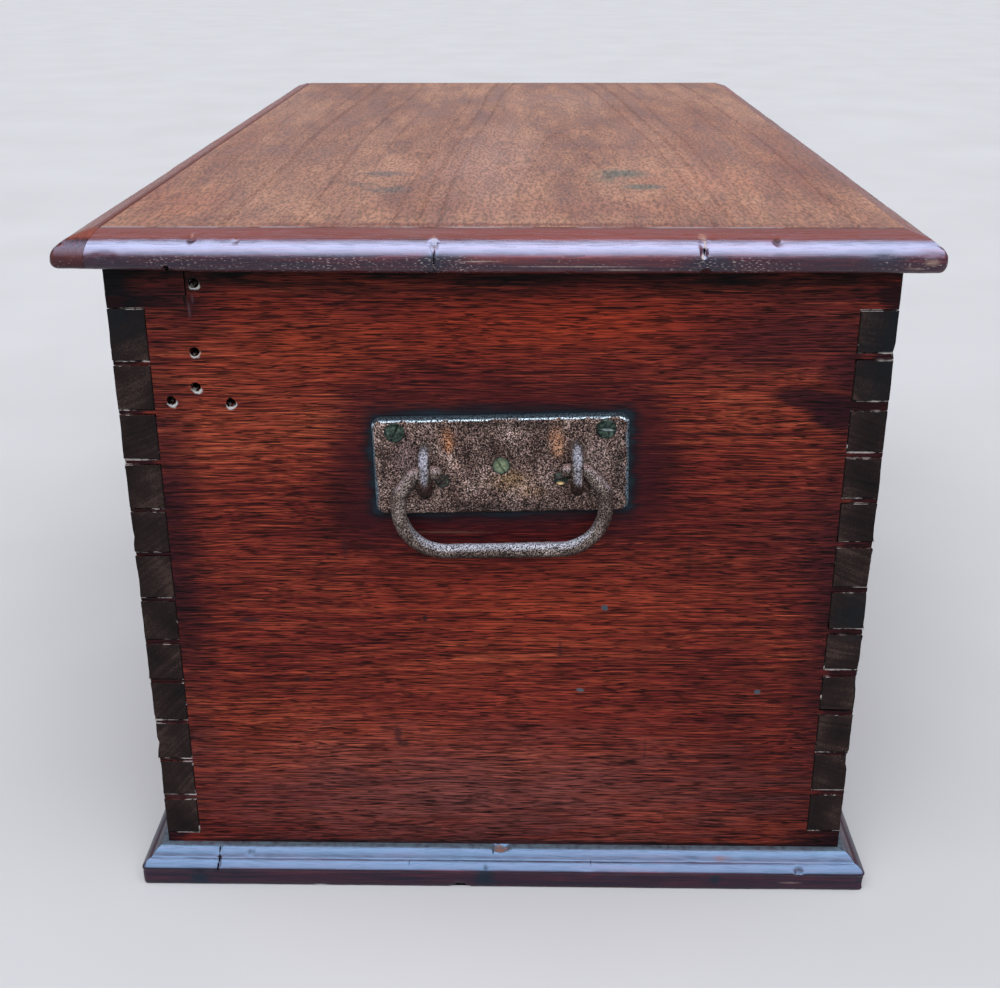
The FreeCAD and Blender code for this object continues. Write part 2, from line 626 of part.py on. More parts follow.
cover_plate = box("cover_plate", ("-lock_width / 2 - lock_flange", "lock_width / 2 + lock_flange"),
                  ("0", "lock_wall"), ("-lock_height", "0"), LOCK)
lock_screw_spots = [
    dict(x=f"{side} * (lock_width + lock_flange) / 2", y="lock_wall", roll="-90", spin=spin,
         z=f"-lock_height * {share}")
    for side, share, spin in ((-1, 0.2, 15), (1, 0.2, -50), (-1, 0.8, 80), (1, 0.8, 35))]
lock_screw_bores = scatter("lock_screw_bores", small_bore, lock_screw_spots, LOCK)
lock_screws = scatter("lock_screws", small_screw, lock_screw_spots, LOCK)

keyhole_body = body_named("keyhole")
key_round = circle_on(keyhole_body, "XZ_Plane", "key_round", "keyhole_radius")
pad(keyhole_body, "key_round_cut", key_round, "6 * board_thickness", midplane=True)
key_slot = outline(keyhole_body, "XZ_Plane", "key_slot", rectangle(
    ("-keyhole_slot_width / 2", "keyhole_slot_width / 2"), ("-keyhole_slot_drop", "0")))
pad(keyhole_body, "key_slot_cut", key_slot, "6 * board_thickness", midplane=True)
place(keyhole_body, y=FRONT_FACE, z=f"{CASE_TOP} - keyhole_down")
ESCUTCHEON_REACH = "(keyhole_radius + escutcheon_wall)"
escutcheon_body = body_named("escutcheon_blank")
escutcheon_outline = outline(escutcheon_body, "XZ_Plane", "escutcheon_outline", rectangle(
    (f"-{ESCUTCHEON_REACH}", ESCUTCHEON_REACH),
    ("-keyhole_slot_drop - escutcheon_wall", ESCUTCHEON_REACH), "keyhole_radius"))
escutcheon_pad = pad(escutcheon_body, "escutcheon_plate", escutcheon_outline, "escutcheon_depth")
escutcheon_pad.Reversed = True
place(escutcheon_body, y=FRONT_FACE, z=f"{CASE_TOP} - keyhole_down")
keyhole_escutcheon = carve("keyhole_escutcheon", escutcheon_body, keyhole_body)

lock_case = carve("lock_case", lock_shell, lock_room, *loop_slots, keyhole_body)
lock_case = join("lock_case_with_shelf", lock_case, bolt_shelf)
lock_cover = carve("lock_cover", cover_plate, lock_screw_bores)

BAR_START = "(-loop_across - loop_width / 2 - 2 * bolt_fit - finger_reach - finger_width)"
bolt_pieces = [
    box("bolt_bar", (BAR_START, f"{BAR_START} + bolt_length"),
        ("lock_wall - lock_depth + bolt_fit", "-bolt_fit"),
        ("-bolt_top - bolt_height", "-bolt_top"), LOCK)]
FINGER_TOP = "(-loop_eye_top - (loop_eye_height - finger_height) / 2)"
for number, side in enumerate((-1, 1), start=1):
    root = f"({side} * loop_across - loop_width / 2 - 2 * bolt_fit - finger_reach)"
    thickness = (f"{LOCK_MIDDLE} - finger_thickness / 2", f"{LOCK_MIDDLE} + finger_thickness / 2")
    bolt_pieces.append(box(f"bolt_upright_{number}", (f"{root} - finger_width", root), thickness,
                           ("-bolt_top - bolt_height / 2", FINGER_TOP), LOCK))
    bolt_pieces.append(box(f"bolt_finger_{number}", (root, f"{root} + finger_reach"), thickness,
                           (f"{FINGER_TOP} - finger_height", FINGER_TOP), LOCK))
lock_bolt = join("lock_bolt", *bolt_pieces)

catch_recess = box("catch_recess", ("-catch_length / 2", "catch_length / 2"),
                   (f"{LOCK_MIDDLE} - catch_width / 2", f"{LOCK_MIDDLE} + catch_width / 2"),
                   ("lid_seat_gap", "lid_seat_gap + catch_plate"), LOCK)
catch_loops = [
    box(f"catch_loop_{number}",
        (f"{side} * loop_across - loop_width / 2", f"{side} * loop_across + loop_width / 2"),
        (f"{LOCK_MIDDLE} - loop_thickness / 2", f"{LOCK_MIDDLE} + loop_thickness / 2"),
        ("lid_seat_gap - loop_length", "lid_seat_gap + catch_plate / 2"), LOCK)
    for number, side in enumerate((-1, 1), start=1)]
loop_eyes = [
    box(f"loop_eye_{number}",
        (f"{side} * loop_across - loop_width", f"{side} * loop_across + loop_width"),
        (f"{LOCK_MIDDLE} - loop_eye_width / 2", f"{LOCK_MIDDLE} + loop_eye_width / 2"),
        ("-loop_eye_top - loop_eye_height", "-loop_eye_top"), LOCK)
    for number, side in enumerate((-1, 1), start=1)]
catch_spots = [dict(x=f"{side} * (catch_length / 2 - small_screw_head)", y=LOCK_MIDDLE,
                    z="lid_seat_gap", roll="180", spin=spin) for side, spin in ((-1, 30), (1, -65))]
catch_bores = scatter("catch_bores", small_bore, catch_spots, LOCK)
catch_screws = scatter("catch_screws", small_screw, catch_spots, LOCK)
catch_stock = join("catch_stock", catch_recess, *catch_loops)
lock_catch = carve("lock_catch", catch_stock, *loop_eyes, catch_bores)


# ---------------------------------------------------------------------------------------------
# End handles: a plate with two eyes, a bail that swings in them, and five screws
# ---------------------------------------------------------------------------------------------

HALF_PLATE = ("-plate_width / 2", "plate_width / 2")
EYE_FRONT = "(plate_thickness + eye_reach - eye_wire)"
PIVOT_OUT = "(plate_thickness + bail_stand_off)"
PIVOT_UP = "(eye_up - eye_half_height + eye_wire + bail_rod + bail_gap)"
UPPER_SPOTS = [dict(x="plate_thickness", y="-upper_screw_across", z="upper_screw_up",
                    pitch="90", spin="-25"),
               dict(x="plate_thickness", y="upper_screw_across", z="upper_screw_up",
                    pitch="90", spin="85")]
CENTRE_SPOTS = [dict(x="plate_thickness", pitch="90", spin="-155")]
LOWER_SPOTS = [dict(x="plate_thickness", y=f"{side} * lower_screw_across", z="-lower_screw_down",
                    pitch="90", spin=spin) for side, spin in ((-1, 40), (1, -15))]


def handle(side, sign):
    """One handle in a frame on the end board: X out of the board, the plate's middle at the origin."""
    turn = "0" if sign > 0 else "180"
    frame = frame_at(x=f"{sign} * {END_FACE}", y=MIDDLE, z="handle_height", yaw=turn,
                     roll="handle_tilt")
    plate = body_named(f"{side}_plate_blank")
    plate_outline = outline(plate, "YZ_Plane", f"{side}_plate_outline", rectangle(
        HALF_PLATE, ("-plate_height / 2", "plate_height / 2"), "plate_corner"))
    flat = pad(plate, f"{side}_plate_pad", plate_outline, "plate_thickness")
    document.recompute()
    rim = edges_where(flat.Shape, lambda edge: edge.BoundBox.XMin > value("plate_thickness") / 2)
    bevel = plate.newObject("PartDesign::Chamfer", f"{side}_plate_bevel")
    bevel.Base = (flat, rim)
    bind(bevel, Size="plate_bevel")
    plate.Tip = bevel
    place(plate, frame)

    eye = swept_rod(f"{side}_eye", "XZ_Plane", [
        ("0", "eye_half_height"), (EYE_FRONT, "eye_half_height", "eye_bend"),
        (EYE_FRONT, "-eye_half_height", "eye_bend"), ("0", "-eye_half_height")],
        "eye_wire", "YZ_Plane", "0", "eye_half_height")
    eye_spots = [dict(y="-eye_across", z="eye_up"), dict(y="eye_across", z="eye_up")]
    eyes = scatter(f"{side}_handle_eyes", eye, eye_spots, frame)
    eye_bores = [
        rod_along_x(f"{side}_eye_bore_{across}_{up}".replace("-1", "low").replace("1", "high"),
                    "eye_wire + driven_fit", ("-1", "plate_thickness + 1"),
                    y=f"{across} * eye_across", z=f"eye_up + {up} * eye_half_height", frame=frame)
        for across in (-1, 1) for up in (-1, 1)]

    groups = (("upper", upper_screw, upper_bore, UPPER_SPOTS),
              ("centre", centre_screw, centre_bore, CENTRE_SPOTS),
              ("lower", lower_screw, lower_bore, LOWER_SPOTS))
    screws = document.addObject("Part::Compound", f"{side}_handle_screws")
    screws.Links = [scatter(f"{side}_{name}_screws", master, spots, frame)
                    for name, master, bore, spots in groups]
    bores = [scatter(f"{side}_{name}_bores", bore, spots, frame)
             for name, master, bore, spots in groups]

    bail = swept_rod(f"{side}_handle_bail", "YZ_Plane", [
        ("bail_end", "0"), ("bail_neck", "0", "bail_neck_bend"),
        ("bail_half_width", "-bail_shoulder", "bail_shoulder_bend"),
        ("bail_half_width", "-bail_drop", "bail_corner_bend"),
        ("-bail_half_width", "-bail_drop", "bail_corner_bend"),
        ("-bail_half_width", "-bail_shoulder", "bail_shoulder_bend"),
        ("-bail_neck", "0", "bail_neck_bend"), ("-bail_end", "0")],
        "bail_rod", "XZ_Plane", "0", "0", "-bail_end")
    place(bail, frame, x=PIVOT_OUT, z=PIVOT_UP)
    return {"plate": carve(f"{side}_handle_plate", plate, *eye_bores, *bores),
            "eyes": eyes, "screws": screws, "bail": bail, "in_end_board": bores}


handles = {"right": handle("right", 1), "left": handle("left", -1)}


# ---------------------------------------------------------------------------------------------
# Case boards, bottom boards and till
# ---------------------------------------------------------------------------------------------

def tail_board(name, y, pin_width, bottom_half_pin):
    """A long board with dovetails at both ends, about its own middle plane, its foot at z = 0."""
    body = body_named(f"{name}_blank")
    face = outline(body, "XZ_Plane", f"{name}_face", rectangle(
        (f"-{END_FACE}", END_FACE), ("0", "side_height")))
    pad(body, f"{name}_pad", face, "board_thickness", midplane=True)
    flare = "board_thickness / tail_slope"
    pitch = (f"((side_height - top_half_pin - {bottom_half_pin} + {pin_width}) / tail_count)")

    def socket(side, low, high, low_flare, high_flare):
        """The room for one pin: narrow at the board's end, wide at its shoulder."""
        end, shoulder = f"{side} * {END_FACE}", f"{side} * {END_INSIDE}"
        return [(end, low), (end, high), (shoulder, f"{high} + {high_flare}"),
                (shoulder, f"{low} - {low_flare}")]

    half_pins = outline(
        body, "XZ_Plane", f"{name}_half_pins",
        *[socket(side, "0", bottom_half_pin, "0", flare) for side in (-1, 1)],
        *[socket(side, "side_height - top_half_pin", "side_height", flare, "0")
          for side in (-1, 1)])
    pocket_through(body, f"{name}_half_pin_cut", half_pins)
    lowest = f"({bottom_half_pin} + {pitch} - {pin_width})"
    pins = outline(body, "XZ_Plane", f"{name}_pins", *[
        socket(side, lowest, f"{lowest} + {pin_width}", flare, flare) for side in (-1, 1)])
    pin_cut = pocket_through(body, f"{name}_pin_cut", pins)
    row_of_pins = body.newObject("PartDesign::LinearPattern", f"{name}_row")
    row_of_pins.Originals = [pin_cut]
    row_of_pins.Direction = (pins, ["V_Axis"])
    bind(row_of_pins, Length=f"{pitch} * (tail_count - 2)", Occurrences="tail_count - 1")
    body.Tip = row_of_pins
    return place(body, y=y, z="bottom_thickness")


front_blank = tail_board("front", f"{FRONT_FACE} + board_thickness / 2",
                         "front_pin_width", "front_bottom_half_pin")
back_blank = tail_board("back", f"{BACK_FACE} - board_thickness / 2",
                        "back_pin_width", "back_bottom_half_pin")
CASE_SPAN = ("bottom_thickness", CASE_TOP)
right_blank = box("right_blank", (END_INSIDE, END_FACE), (FRONT_FACE, BACK_FACE), CASE_SPAN)
left_blank = box("left_blank", (f"-{END_FACE}", f"-{END_INSIDE}"), (FRONT_FACE, BACK_FACE), CASE_SPAN)

corner_patch = box("corner_patch", (f"{END_FACE} - patch_depth", END_FACE),
                   (FRONT_FACE, f"{FRONT_FACE} + patch_width"),
                   (f"{CASE_TOP} - patch_height", CASE_TOP))
old_holes = [
    rod_along_x(f"old_hole_{number}", "old_hole_radius", (f"{END_FACE} - old_hole_depth", END_FACE),
                y=f"{FRONT_FACE} + old_hole_{number}_across", z=f"{CASE_TOP} - old_hole_{number}_down")
    for number in (1, 2, 3, 4, 5)]

TILL_OUTSIDE = f"(till_width - {END_INSIDE})"
TILL_TOP = f"({CASE_TOP} - till_down)"
TILL_SPAN = (f"{FRONT_INSIDE} - till_housing", f"{BACK_INSIDE} + till_housing")
till_side = box("till_side", (TILL_OUTSIDE, f"{TILL_OUTSIDE} + till_board"), TILL_SPAN,
                (f"{TILL_TOP} - till_depth", TILL_TOP))
till_bottom = box("till_bottom", (f"-{END_INSIDE}", TILL_OUTSIDE), TILL_SPAN,
                  (f"{TILL_TOP} - till_depth", f"{TILL_TOP} - till_depth + till_board"))

front_board = carve("front_board", front_blank, till_side, till_bottom, bottom_bores, lock_shell,
                    lock_screw_bores, escutcheon_body, keyhole_body)
back_board = carve("back_board", back_blank, till_side, till_bottom, bottom_bores,
                   *hinges["left"]["in_back_board"], *hinges["right"]["in_back_board"])
right_end_board = carve("right_end_board", right_blank, front_blank, back_blank, corner_patch,
                        *old_holes, bottom_bores, *handles["right"]["in_end_board"])
left_end_board = carve("left_end_board", left_blank, front_blank, back_blank, bottom_bores,
                       *handles["left"]["in_end_board"])

BOTTOM_WIDTH = "((case_width - 2 * bottom_gap) / 3)"
bottom_boards = {}
for number, name in enumerate(("bottom_board_front", "bottom_board_middle", "bottom_board_back")):
    near_edge = f"{FRONT_FACE} + {number} * ({BOTTOM_WIDTH} + bottom_gap)"
    plank = box(f"{name}_blank", (f"-{END_FACE}", END_FACE),
                (near_edge, f"{near_edge} + {BOTTOM_WIDTH}"), ("0", "bottom_thickness"))
    bottom_boards[name] = carve(name, plank, bottom_bores, skirting_bores)


# ---------------------------------------------------------------------------------------------
# Skirting: four mitred strips, nailed round the foot of the case
# ---------------------------------------------------------------------------------------------

def skirting(name, wall_length, **spot):
    """One strip about its own middle: its back on y = 0, its moulded face towards +Y."""
    body = body_named(f"{name}_blank")
    section = outline(body, "YZ_Plane", f"{name}_section", [
        ("0", "0"), ("skirting_projection", "0"),
        ("skirting_projection", "skirting_bead_height", "skirting_bead_radius"),
        ("skirting_projection - skirting_bead_width", "skirting_bead_height"),
        ("skirting_ledge", "skirting_height"), ("0", "skirting_height")])
    pad(body, f"{name}_pad", section, f"{wall_length} + 2 * skirting_projection", midplane=True)
    mitres = outline(body, "XY_Plane", f"{name}_mitres", *[
        [(f"{side} * {wall_length} / 2", "0"),
         (f"{side} * ({wall_length} / 2 + 2 * skirting_projection)", "0"),
         (f"{side} * ({wall_length} / 2 + 2 * skirting_projection)", "2 * skirting_projection")]
        for side in (-1, 1)])
    pocket_through(body, f"{name}_mitre_cut", mitres)
    place(body, **spot)
    return carve(name, body, skirting_bores)


skirtings = {
    "skirting_back": skirting("skirting_back", "case_length", y=BACK_FACE),
    "skirting_front": skirting("skirting_front", "case_length", y=FRONT_FACE, yaw="180"),
    "skirting_right": skirting("skirting_right", "case_width", x=END_FACE, y=MIDDLE, yaw="-90"),
    "skirting_left": skirting("skirting_left", "case_width", x=f"-{END_FACE}", y=MIDDLE, yaw="90"),
}


# ---------------------------------------------------------------------------------------------
# Lid: one board with four moulded strips nailed to its edges
# ---------------------------------------------------------------------------------------------

LID_END = f"({END_FACE} - lid_inset)"
LID_FRONT = f"({FRONT_FACE} + lid_inset)"
LID_BACK = f"({BACK_FACE} - lid_inset)"
FRONT_EDGE = f"({LID_FRONT} - front_overhang)"
BACK_EDGE = f"({LID_BACK} + back_overhang)"
OUTER_END = f"({LID_END} + end_overhang)"
MOULDING_TOP = f"({LID_UNDERSIDE} + lid_thickness - moulding_step)"
LIP_FOOT = f"({LID_UNDERSIDE} - lip_drop)"

lid_blank = box("lid_blank", (f"-{LID_END}", LID_END), (LID_FRONT, LID_BACK),
                (LID_UNDERSIDE, f"{LID_UNDERSIDE} + lid_thickness"))
lid_board = carve("lid_board", lid_blank, lid_bores, catch_recess, catch_bores,
                  *hinges["left"]["in_lid_board"], *hinges["right"]["in_lid_board"])


def round_rim(name, stock, height, radius):
    """Round the edges of a block that lie at one height."""
    document.recompute()
    level = value(height)
    rim = [number for number, edge in enumerate(stock.Shape.Edges, start=1)
           if max(abs(edge.BoundBox.ZMin - level), abs(edge.BoundBox.ZMax - level)) < 0.01]
    rounding = document.addObject("Part::Fillet", name)
    rounding.Base = stock
    rounding.Edges = [(number, value(radius), value(radius)) for number in rim]
    return rounding


moulding_block = box("moulding_block", (f"-{OUTER_END}", OUTER_END), (FRONT_EDGE, BACK_EDGE),
                     (LIP_FOOT, MOULDING_TOP))
over_case = box("over_case", (f"-{END_FACE} - lip_gap", f"{END_FACE} + lip_gap"),
                (f"{FRONT_FACE} - lip_gap", f"{BACK_EDGE} + 1"), (f"{LIP_FOOT} - 1", LID_UNDERSIDE))
moulding_frame = carve("moulding_frame", round_rim(
    "moulding_nosed", round_rim("moulding_rounded", moulding_block, MOULDING_TOP, "moulding_round"),
    LIP_FOOT, "moulding_nose"), lid_blank, over_case)


def moulding(name, x, y, *tools):
    """The stretch of the moulded frame between two formulas on X and on Y."""
    stretch = document.addObject("Part::Common", f"{name}_stretch")
    stretch.Base = moulding_frame
    stretch.Tool = box(f"{name}_reach", x, y, (f"{LIP_FOOT} - 1", f"{MOULDING_TOP} + 1"))
    return carve(name, stretch, lid_bores, *tools)


lid_mouldings = {
    "lid_moulding_front": moulding("lid_moulding_front", (f"-{OUTER_END}", OUTER_END),
                                   (FRONT_EDGE, LID_FRONT)),
    "lid_moulding_right": moulding("lid_moulding_right", (LID_END, OUTER_END),
                                   (LID_FRONT, BACK_EDGE)),
    "lid_moulding_left": moulding("lid_moulding_left", (f"-{OUTER_END}", f"-{LID_END}"),
                                  (LID_FRONT, BACK_EDGE)),
    "lid_moulding_back": moulding("lid_moulding_back", (f"-{LID_END}", LID_END),
                                  (LID_BACK, BACK_EDGE), *hinges["left"]["in_back_moulding"],
                                  *hinges["right"]["in_back_moulding"]),
}


# ---------------------------------------------------------------------------------------------
# Sub-parts, their checks and their files
# ---------------------------------------------------------------------------------------------

sub_parts = {
    "front_board": front_board,
    "back_board": back_board,
    "right_end_board": right_end_board,
    "left_end_board": left_end_board,
    "corner_patch": corner_patch,
    **bottom_boards,
    "bottom_nails": bottom_nails,
    **skirtings,
    "skirting_nails": skirting_nails,
    "till_side": till_side,
    "till_bottom": till_bottom,
    "lock_case": lock_case,
    "lock_cover": lock_cover,
    "lock_bolt": lock_bolt,
    "lock_screws": lock_screws,
    "keyhole_escutcheon": keyhole_escutcheon,
    "lid_board": lid_board,
    **lid_mouldings,
    "lid_moulding_nails": lid_moulding_nails,
    "lock_catch": lock_catch,
    "catch_screws": catch_screws,
    "hinge_leaf_screws": hinge_leaf_screws,
    "hinge_strap_screws": hinge_strap_screws,
}
for side, parts in hinges.items():
    sub_parts[f"{side}_hinge_leaf"] = parts["leaf"]
    sub_parts[f"{side}_hinge_strap"] = parts["strap"]
    sub_parts[f"{side}_hinge_pin"] = parts["pin"]
for side, parts in handles.items():
    sub_parts[f"{side}_handle_plate"] = parts["plate"]
    sub_parts[f"{side}_handle_eyes"] = parts["eyes"]
    sub_parts[f"{side}_handle_screws"] = parts["screws"]
    sub_parts[f"{side}_bail"] = parts["bail"]

document.recompute()
for thing in document.Objects:
    if {"Invalid", "Error"} & set(thing.State):
        raise RuntimeError(f"{thing.Name} failed: {thing.State}")
for name, thing in sub_parts.items():
    thing.Label = name
    if thing.Shape.isNull() or not thing.Shape.isValid() or thing.Shape.Volume <= 0:
        raise RuntimeError(f"{name} has no sound shape")

os.makedirs("parts", exist_ok=True)
for name, thing in sub_parts.items():
    thing.Shape.exportStep(f"parts/{name}.step")
    print(f"{name}: {len(thing.Shape.Solids)} solids, {thing.Shape.Volume / 1000:.1f} cm3")
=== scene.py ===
import bmesh
import bpy
import math
import random
from mathutils import Matrix, Vector, noise


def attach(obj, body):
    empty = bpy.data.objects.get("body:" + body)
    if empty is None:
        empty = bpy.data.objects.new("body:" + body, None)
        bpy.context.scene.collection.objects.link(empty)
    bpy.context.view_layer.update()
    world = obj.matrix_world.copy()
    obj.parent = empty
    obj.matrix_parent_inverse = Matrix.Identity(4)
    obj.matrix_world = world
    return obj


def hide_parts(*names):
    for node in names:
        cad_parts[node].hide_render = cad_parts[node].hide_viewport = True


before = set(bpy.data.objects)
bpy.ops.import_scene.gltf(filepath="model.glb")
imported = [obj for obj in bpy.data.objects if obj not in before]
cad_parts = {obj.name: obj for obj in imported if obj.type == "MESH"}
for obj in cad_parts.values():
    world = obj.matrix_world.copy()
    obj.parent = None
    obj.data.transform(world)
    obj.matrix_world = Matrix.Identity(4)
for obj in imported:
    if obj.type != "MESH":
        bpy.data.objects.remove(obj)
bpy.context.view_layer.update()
MM = 0.001


# ---------------------------------------------------------------------------
# Front and back boards. Each is one wide hardwood board, 22 mm thick, along the
# chest. Twelve hand-cut tails at each corner lap over the end boards, so their
# dark end grain shows in the ends of the chest. Glued, and nailed to the bottom.
# ---------------------------------------------------------------------------
END_FACE = 401.0                    # outside of the end boards, from the middle
SHOULDER = 379.0                    # where the tails begin
TAIL_FLARE = 22.0 / 6.0             # a tail narrows this much, each side, over its length
JOINT_GAP = 0.17                    # half of the slit between a tail and a pin
TAILS = 12
CASE_FOOT, CASE_TOP = 16.0, 422.0   # lowest and highest place where the wear may vary
# the boards' faces, and the set-out tails: top of the first, height, distance between tops
OUTSIDE = {"front": -224.75, "back": 229.25}
INSIDE = {"front": -202.75, "back": 207.25}
FIRST_TAIL = {"front": (395.0, 27.767, 30.567), "back": (395.0, 25.983, 30.183)}

# Top and bottom edge of each tail at the right end: no two were sawn alike.
RIGHT_TAILS = {
    "front": list(zip(
        (395.2, 361.1, 330.9, 299.1, 268.2, 238.5, 206.8, 176.6, 148.0, 117.5, 88.2, 58.3),
        (363.9, 333.7, 302.3, 270.2, 240.9, 209.4, 179.9, 150.6, 120.1, 90.7, 62.0, 31.3))),
    "back": list(zip(
        (395.3, 365.9, 334.8, 305.2, 276.0, 246.4, 216.1, 186.4, 155.9, 127.7, 97.4, 65.9),
        (370.1, 340.9, 308.9, 279.5, 250.7, 219.7, 190.8, 161.1, 131.4, 99.3, 69.9, 37.3))),
}


def drawn_tails(side):
    """Edges of the tails as they are set out, before any of them strays."""
    top, height, pitch = FIRST_TAIL[side]
    return [(top - k * pitch, top - k * pitch - height) for k in range(TAILS)]


def strayed_tails(side, seed):
    """The same tails with each saw cut up to 1 mm off its line."""
    stray = random.Random(seed)
    return [(a + stray.uniform(-0.9, 0.9), b + stray.uniform(-0.9, 0.9))
            for a, b in drawn_tails(side)]


TAIL_EDGES = {("front", 1): RIGHT_TAILS["front"], ("back", 1): RIGHT_TAILS["back"],
              ("front", -1): strayed_tails("front", 11), ("back", -1): strayed_tails("back", 12)}


def mesh_of(form, name):
    """A mesh made of a bmesh, which is freed."""
    mesh = bpy.data.meshes.new(name)
    form.to_mesh(mesh)
    form.free()
    return mesh


def placed(name, mesh):
    """A new object of the mesh, put in the scene."""
    thing = bpy.data.objects.new(name, mesh)
    bpy.context.scene.collection.objects.link(thing)
    return thing


def solved_mesh(thing):
    """The mesh that an object's modifiers make of it."""
    bpy.context.view_layer.update()
    seen = thing.evaluated_get(bpy.context.evaluated_depsgraph_get())
    return bpy.data.meshes.new_from_object(seen)


def made_of(piece, material):
    """Give a piece one material in place of any it has."""
    piece.data.materials.clear()
    piece.data.materials.append(material)


AXES = {"X": (1, 0, 0), "Y": (0, 1, 0), "Z": (0, 0, 1)}


def score(board, axis, at):
    """Cut the board's faces along a plane across axis, at mm from the origin."""
    bmesh.ops.bisect_plane(board, geom=board.verts[:] + board.edges[:] + board.faces[:],
                           plane_co=[c * at * MM for c in AXES[axis]], plane_no=AXES[axis])


def whole_faces(node):
    """A copy of a board's mesh with its flat faces made whole."""
    board = bmesh.new()
    board.from_mesh(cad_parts[node].data)
    bmesh.ops.remove_doubles(board, verts=board.verts, dist=2e-6)
    bmesh.ops.dissolve_limit(board, angle_limit=math.radians(0.5),
                             verts=board.verts, edges=board.edges)
    return board


def saw_joints(board, slack):
    """Move the tails' and pins' edges to where the saw went, less slack for the slit."""
    for (side, end), edges in TAIL_EDGES.items():
        low, high = sorted((OUTSIDE[side], INSIDE[side]))
        moves = []
        for (a, b), (top, bottom) in zip(drawn_tails(side), edges):
            moves += [(END_FACE, a, top + slack), (END_FACE, b, bottom - slack),
                      (SHOULDER, a - TAIL_FLARE, top - TAIL_FLARE + slack),
                      (SHOULDER, b + TAIL_FLARE, bottom + TAIL_FLARE - slack)]
        for point in board.verts:
            x, y, z = point.co / MM
            if x * end < SHOULDER - 0.1 or not low - 0.1 < y < high + 0.1:
                continue
            for plane, old, new in moves:
                if abs(x * end - plane) < 0.05 and abs(z - old) < 0.05:
                    point.co.z = new * MM
                    break


def stray_ends(board, seed, reach=0.28):
    """Each tail or pin ends a little proud of the face or a little short of it."""
    for point in board.verts:
        x, _, z = point.co / MM
        if abs(x) > END_FACE - 0.1:
            lift = noise.cell(Vector((seed, round(z / 30.4 + 0.45), x)))
            point.co.x += math.copysign((lift - 0.5) * reach * MM, x)


def rounded(board, name, corner_lines, small=0.4, large=1.0, step=5.0, skip=1.6):
    """The board as an object: edges worn round by small mm, and the lines that
    corner_lines picks by large mm. Cut across each step mm so that the wear can vary."""
    weight = board.edges.layers.float.new("bevel_weight_edge")
    for edge in board.edges:
        if len(edge.link_faces) != 2 or edge.calc_length() < skip * MM:
            continue
        if edge.calc_face_angle(0.0) > math.radians(25):
            edge[weight] = 1.0 if corner_lines(edge) else small / large
    height = CASE_FOOT
    while height < CASE_TOP:
        score(board, "Z", height)
        height += step
    blank = placed(name + "_blank", mesh_of(board, name + "_blank"))
    edge_tool = blank.modifiers.new("worn edges", "BEVEL")
    edge_tool.limit_method = "WEIGHT"
    edge_tool.width = large * MM
    edge_tool.segments = 2
    edge_tool.use_clamp_overlap = False
    worn = solved_mesh(blank)
    worn.name = name
    bpy.data.objects.remove(blank)
    return placed(name, worn)


# (end, side, height, half height, depth) of the worst chips along the corners
CORNER_CHIPS = ((1, -1, 101.0, 4.0, 1.3), (1, -1, 84.0, 5.0, 0.9), (1, -1, 252.0, 6.0, 0.6),
                (1, 1, 94.0, 7.0, 1.6), (1, 1, 153.0, 5.0, 0.9), (1, 1, 370.0, 4.0, 0.9),
                (-1, -1, 60.0, 6.0, 1.2), (-1, 1, 210.0, 5.0, 1.0), (-1, 1, 40.0, 5.0, 1.2))
CORNER_LINES = [(x, y) for x in (-END_FACE, END_FACE) for y in OUTSIDE.values()]


def wear_corners(piece, seed, depth=0.5, reach=7.0):
    """Push the upright corner lines in by an uneven amount, most at the chips."""
    for point in piece.data.vertices:
        x, y, z = point.co / MM
        for cx, cy in CORNER_LINES:
            away = math.hypot(x - cx, y - cy)
            if away < reach:
                worn = depth * max(0.0, 0.35 + 1.1 * noise.noise(Vector((seed, cx, z / 21.0)))
                                   + 0.5 * noise.noise(Vector((seed + 9, cx, z / 5.0))))
                for end, side, height, half, deep in CORNER_CHIPS:
                    if end * cx > 0 and side * cy > 0:
                        worn += deep * max(0.0, 1 - abs(z - height) / half)
                share = (1 - away / reach) ** 2
                point.co.x -= math.copysign(worn * share * MM, cx)
                point.co.y -= math.copysign(worn * share * MM, cy)


def upright_corner(edge):
    """True for the upright lines at the four corners of the chest."""
    a, b = (v.co / MM for v in edge.verts)
    return (abs(a.x - b.x) < 0.01 and abs(a.y - b.y) < 0.01 and abs(a.x) > END_FACE - 1
            and (a.y < OUTSIDE["front"] + 0.5 or a.y > OUTSIDE["back"] - 0.5))


def corner_cuts(board):
    """Lines a few millimetres in from each upright corner, where the wear fades out."""
    for x in (-396.5, 396.5):
        score(board, "X", x)
    for y in (-220.2, 224.7):
        score(board, "Y", y)


def linear(colour):
    """An sRGB hex colour as the linear values that a socket takes."""
    parts = [int(colour[i:i + 2], 16) / 255 for i in (1, 3, 5)]
    return [c / 12.92 if c <= 0.04045 else ((c + 0.055) / 1.055) ** 2.4 for c in parts] + [1.0]


def add(tree, kind, sockets=None, out=0, stops=None, **settings):
    """One node with its settings; sockets are written or linked, and one output comes back."""
    node = tree.nodes.new(kind if kind.startswith("Geometry") else "ShaderNode" + kind)
    for name, value in settings.items():
        setattr(node, name, value)
    for name, value in (sockets or {}).items():
        sources = value if isinstance(value, list) else [value]
        if isinstance(sources[0], bpy.types.NodeSocket):
            for source in sources:
                tree.links.new(source, node.inputs[name])
        else:
            node.inputs[name].default_value = value
    if stops:
        ramp = node.color_ramp
        while len(ramp.elements) < len(stops):
            ramp.elements.new(0.5)
        for element, (place, colour) in zip(ramp.elements, stops):
            element.position = place
            element.color = linear(colour)
    return node.outputs[out] if node.outputs else node


def calc(tree, operation, *values):
    """A Math node."""
    return add(tree, "Math", dict(enumerate(values)), operation=operation)


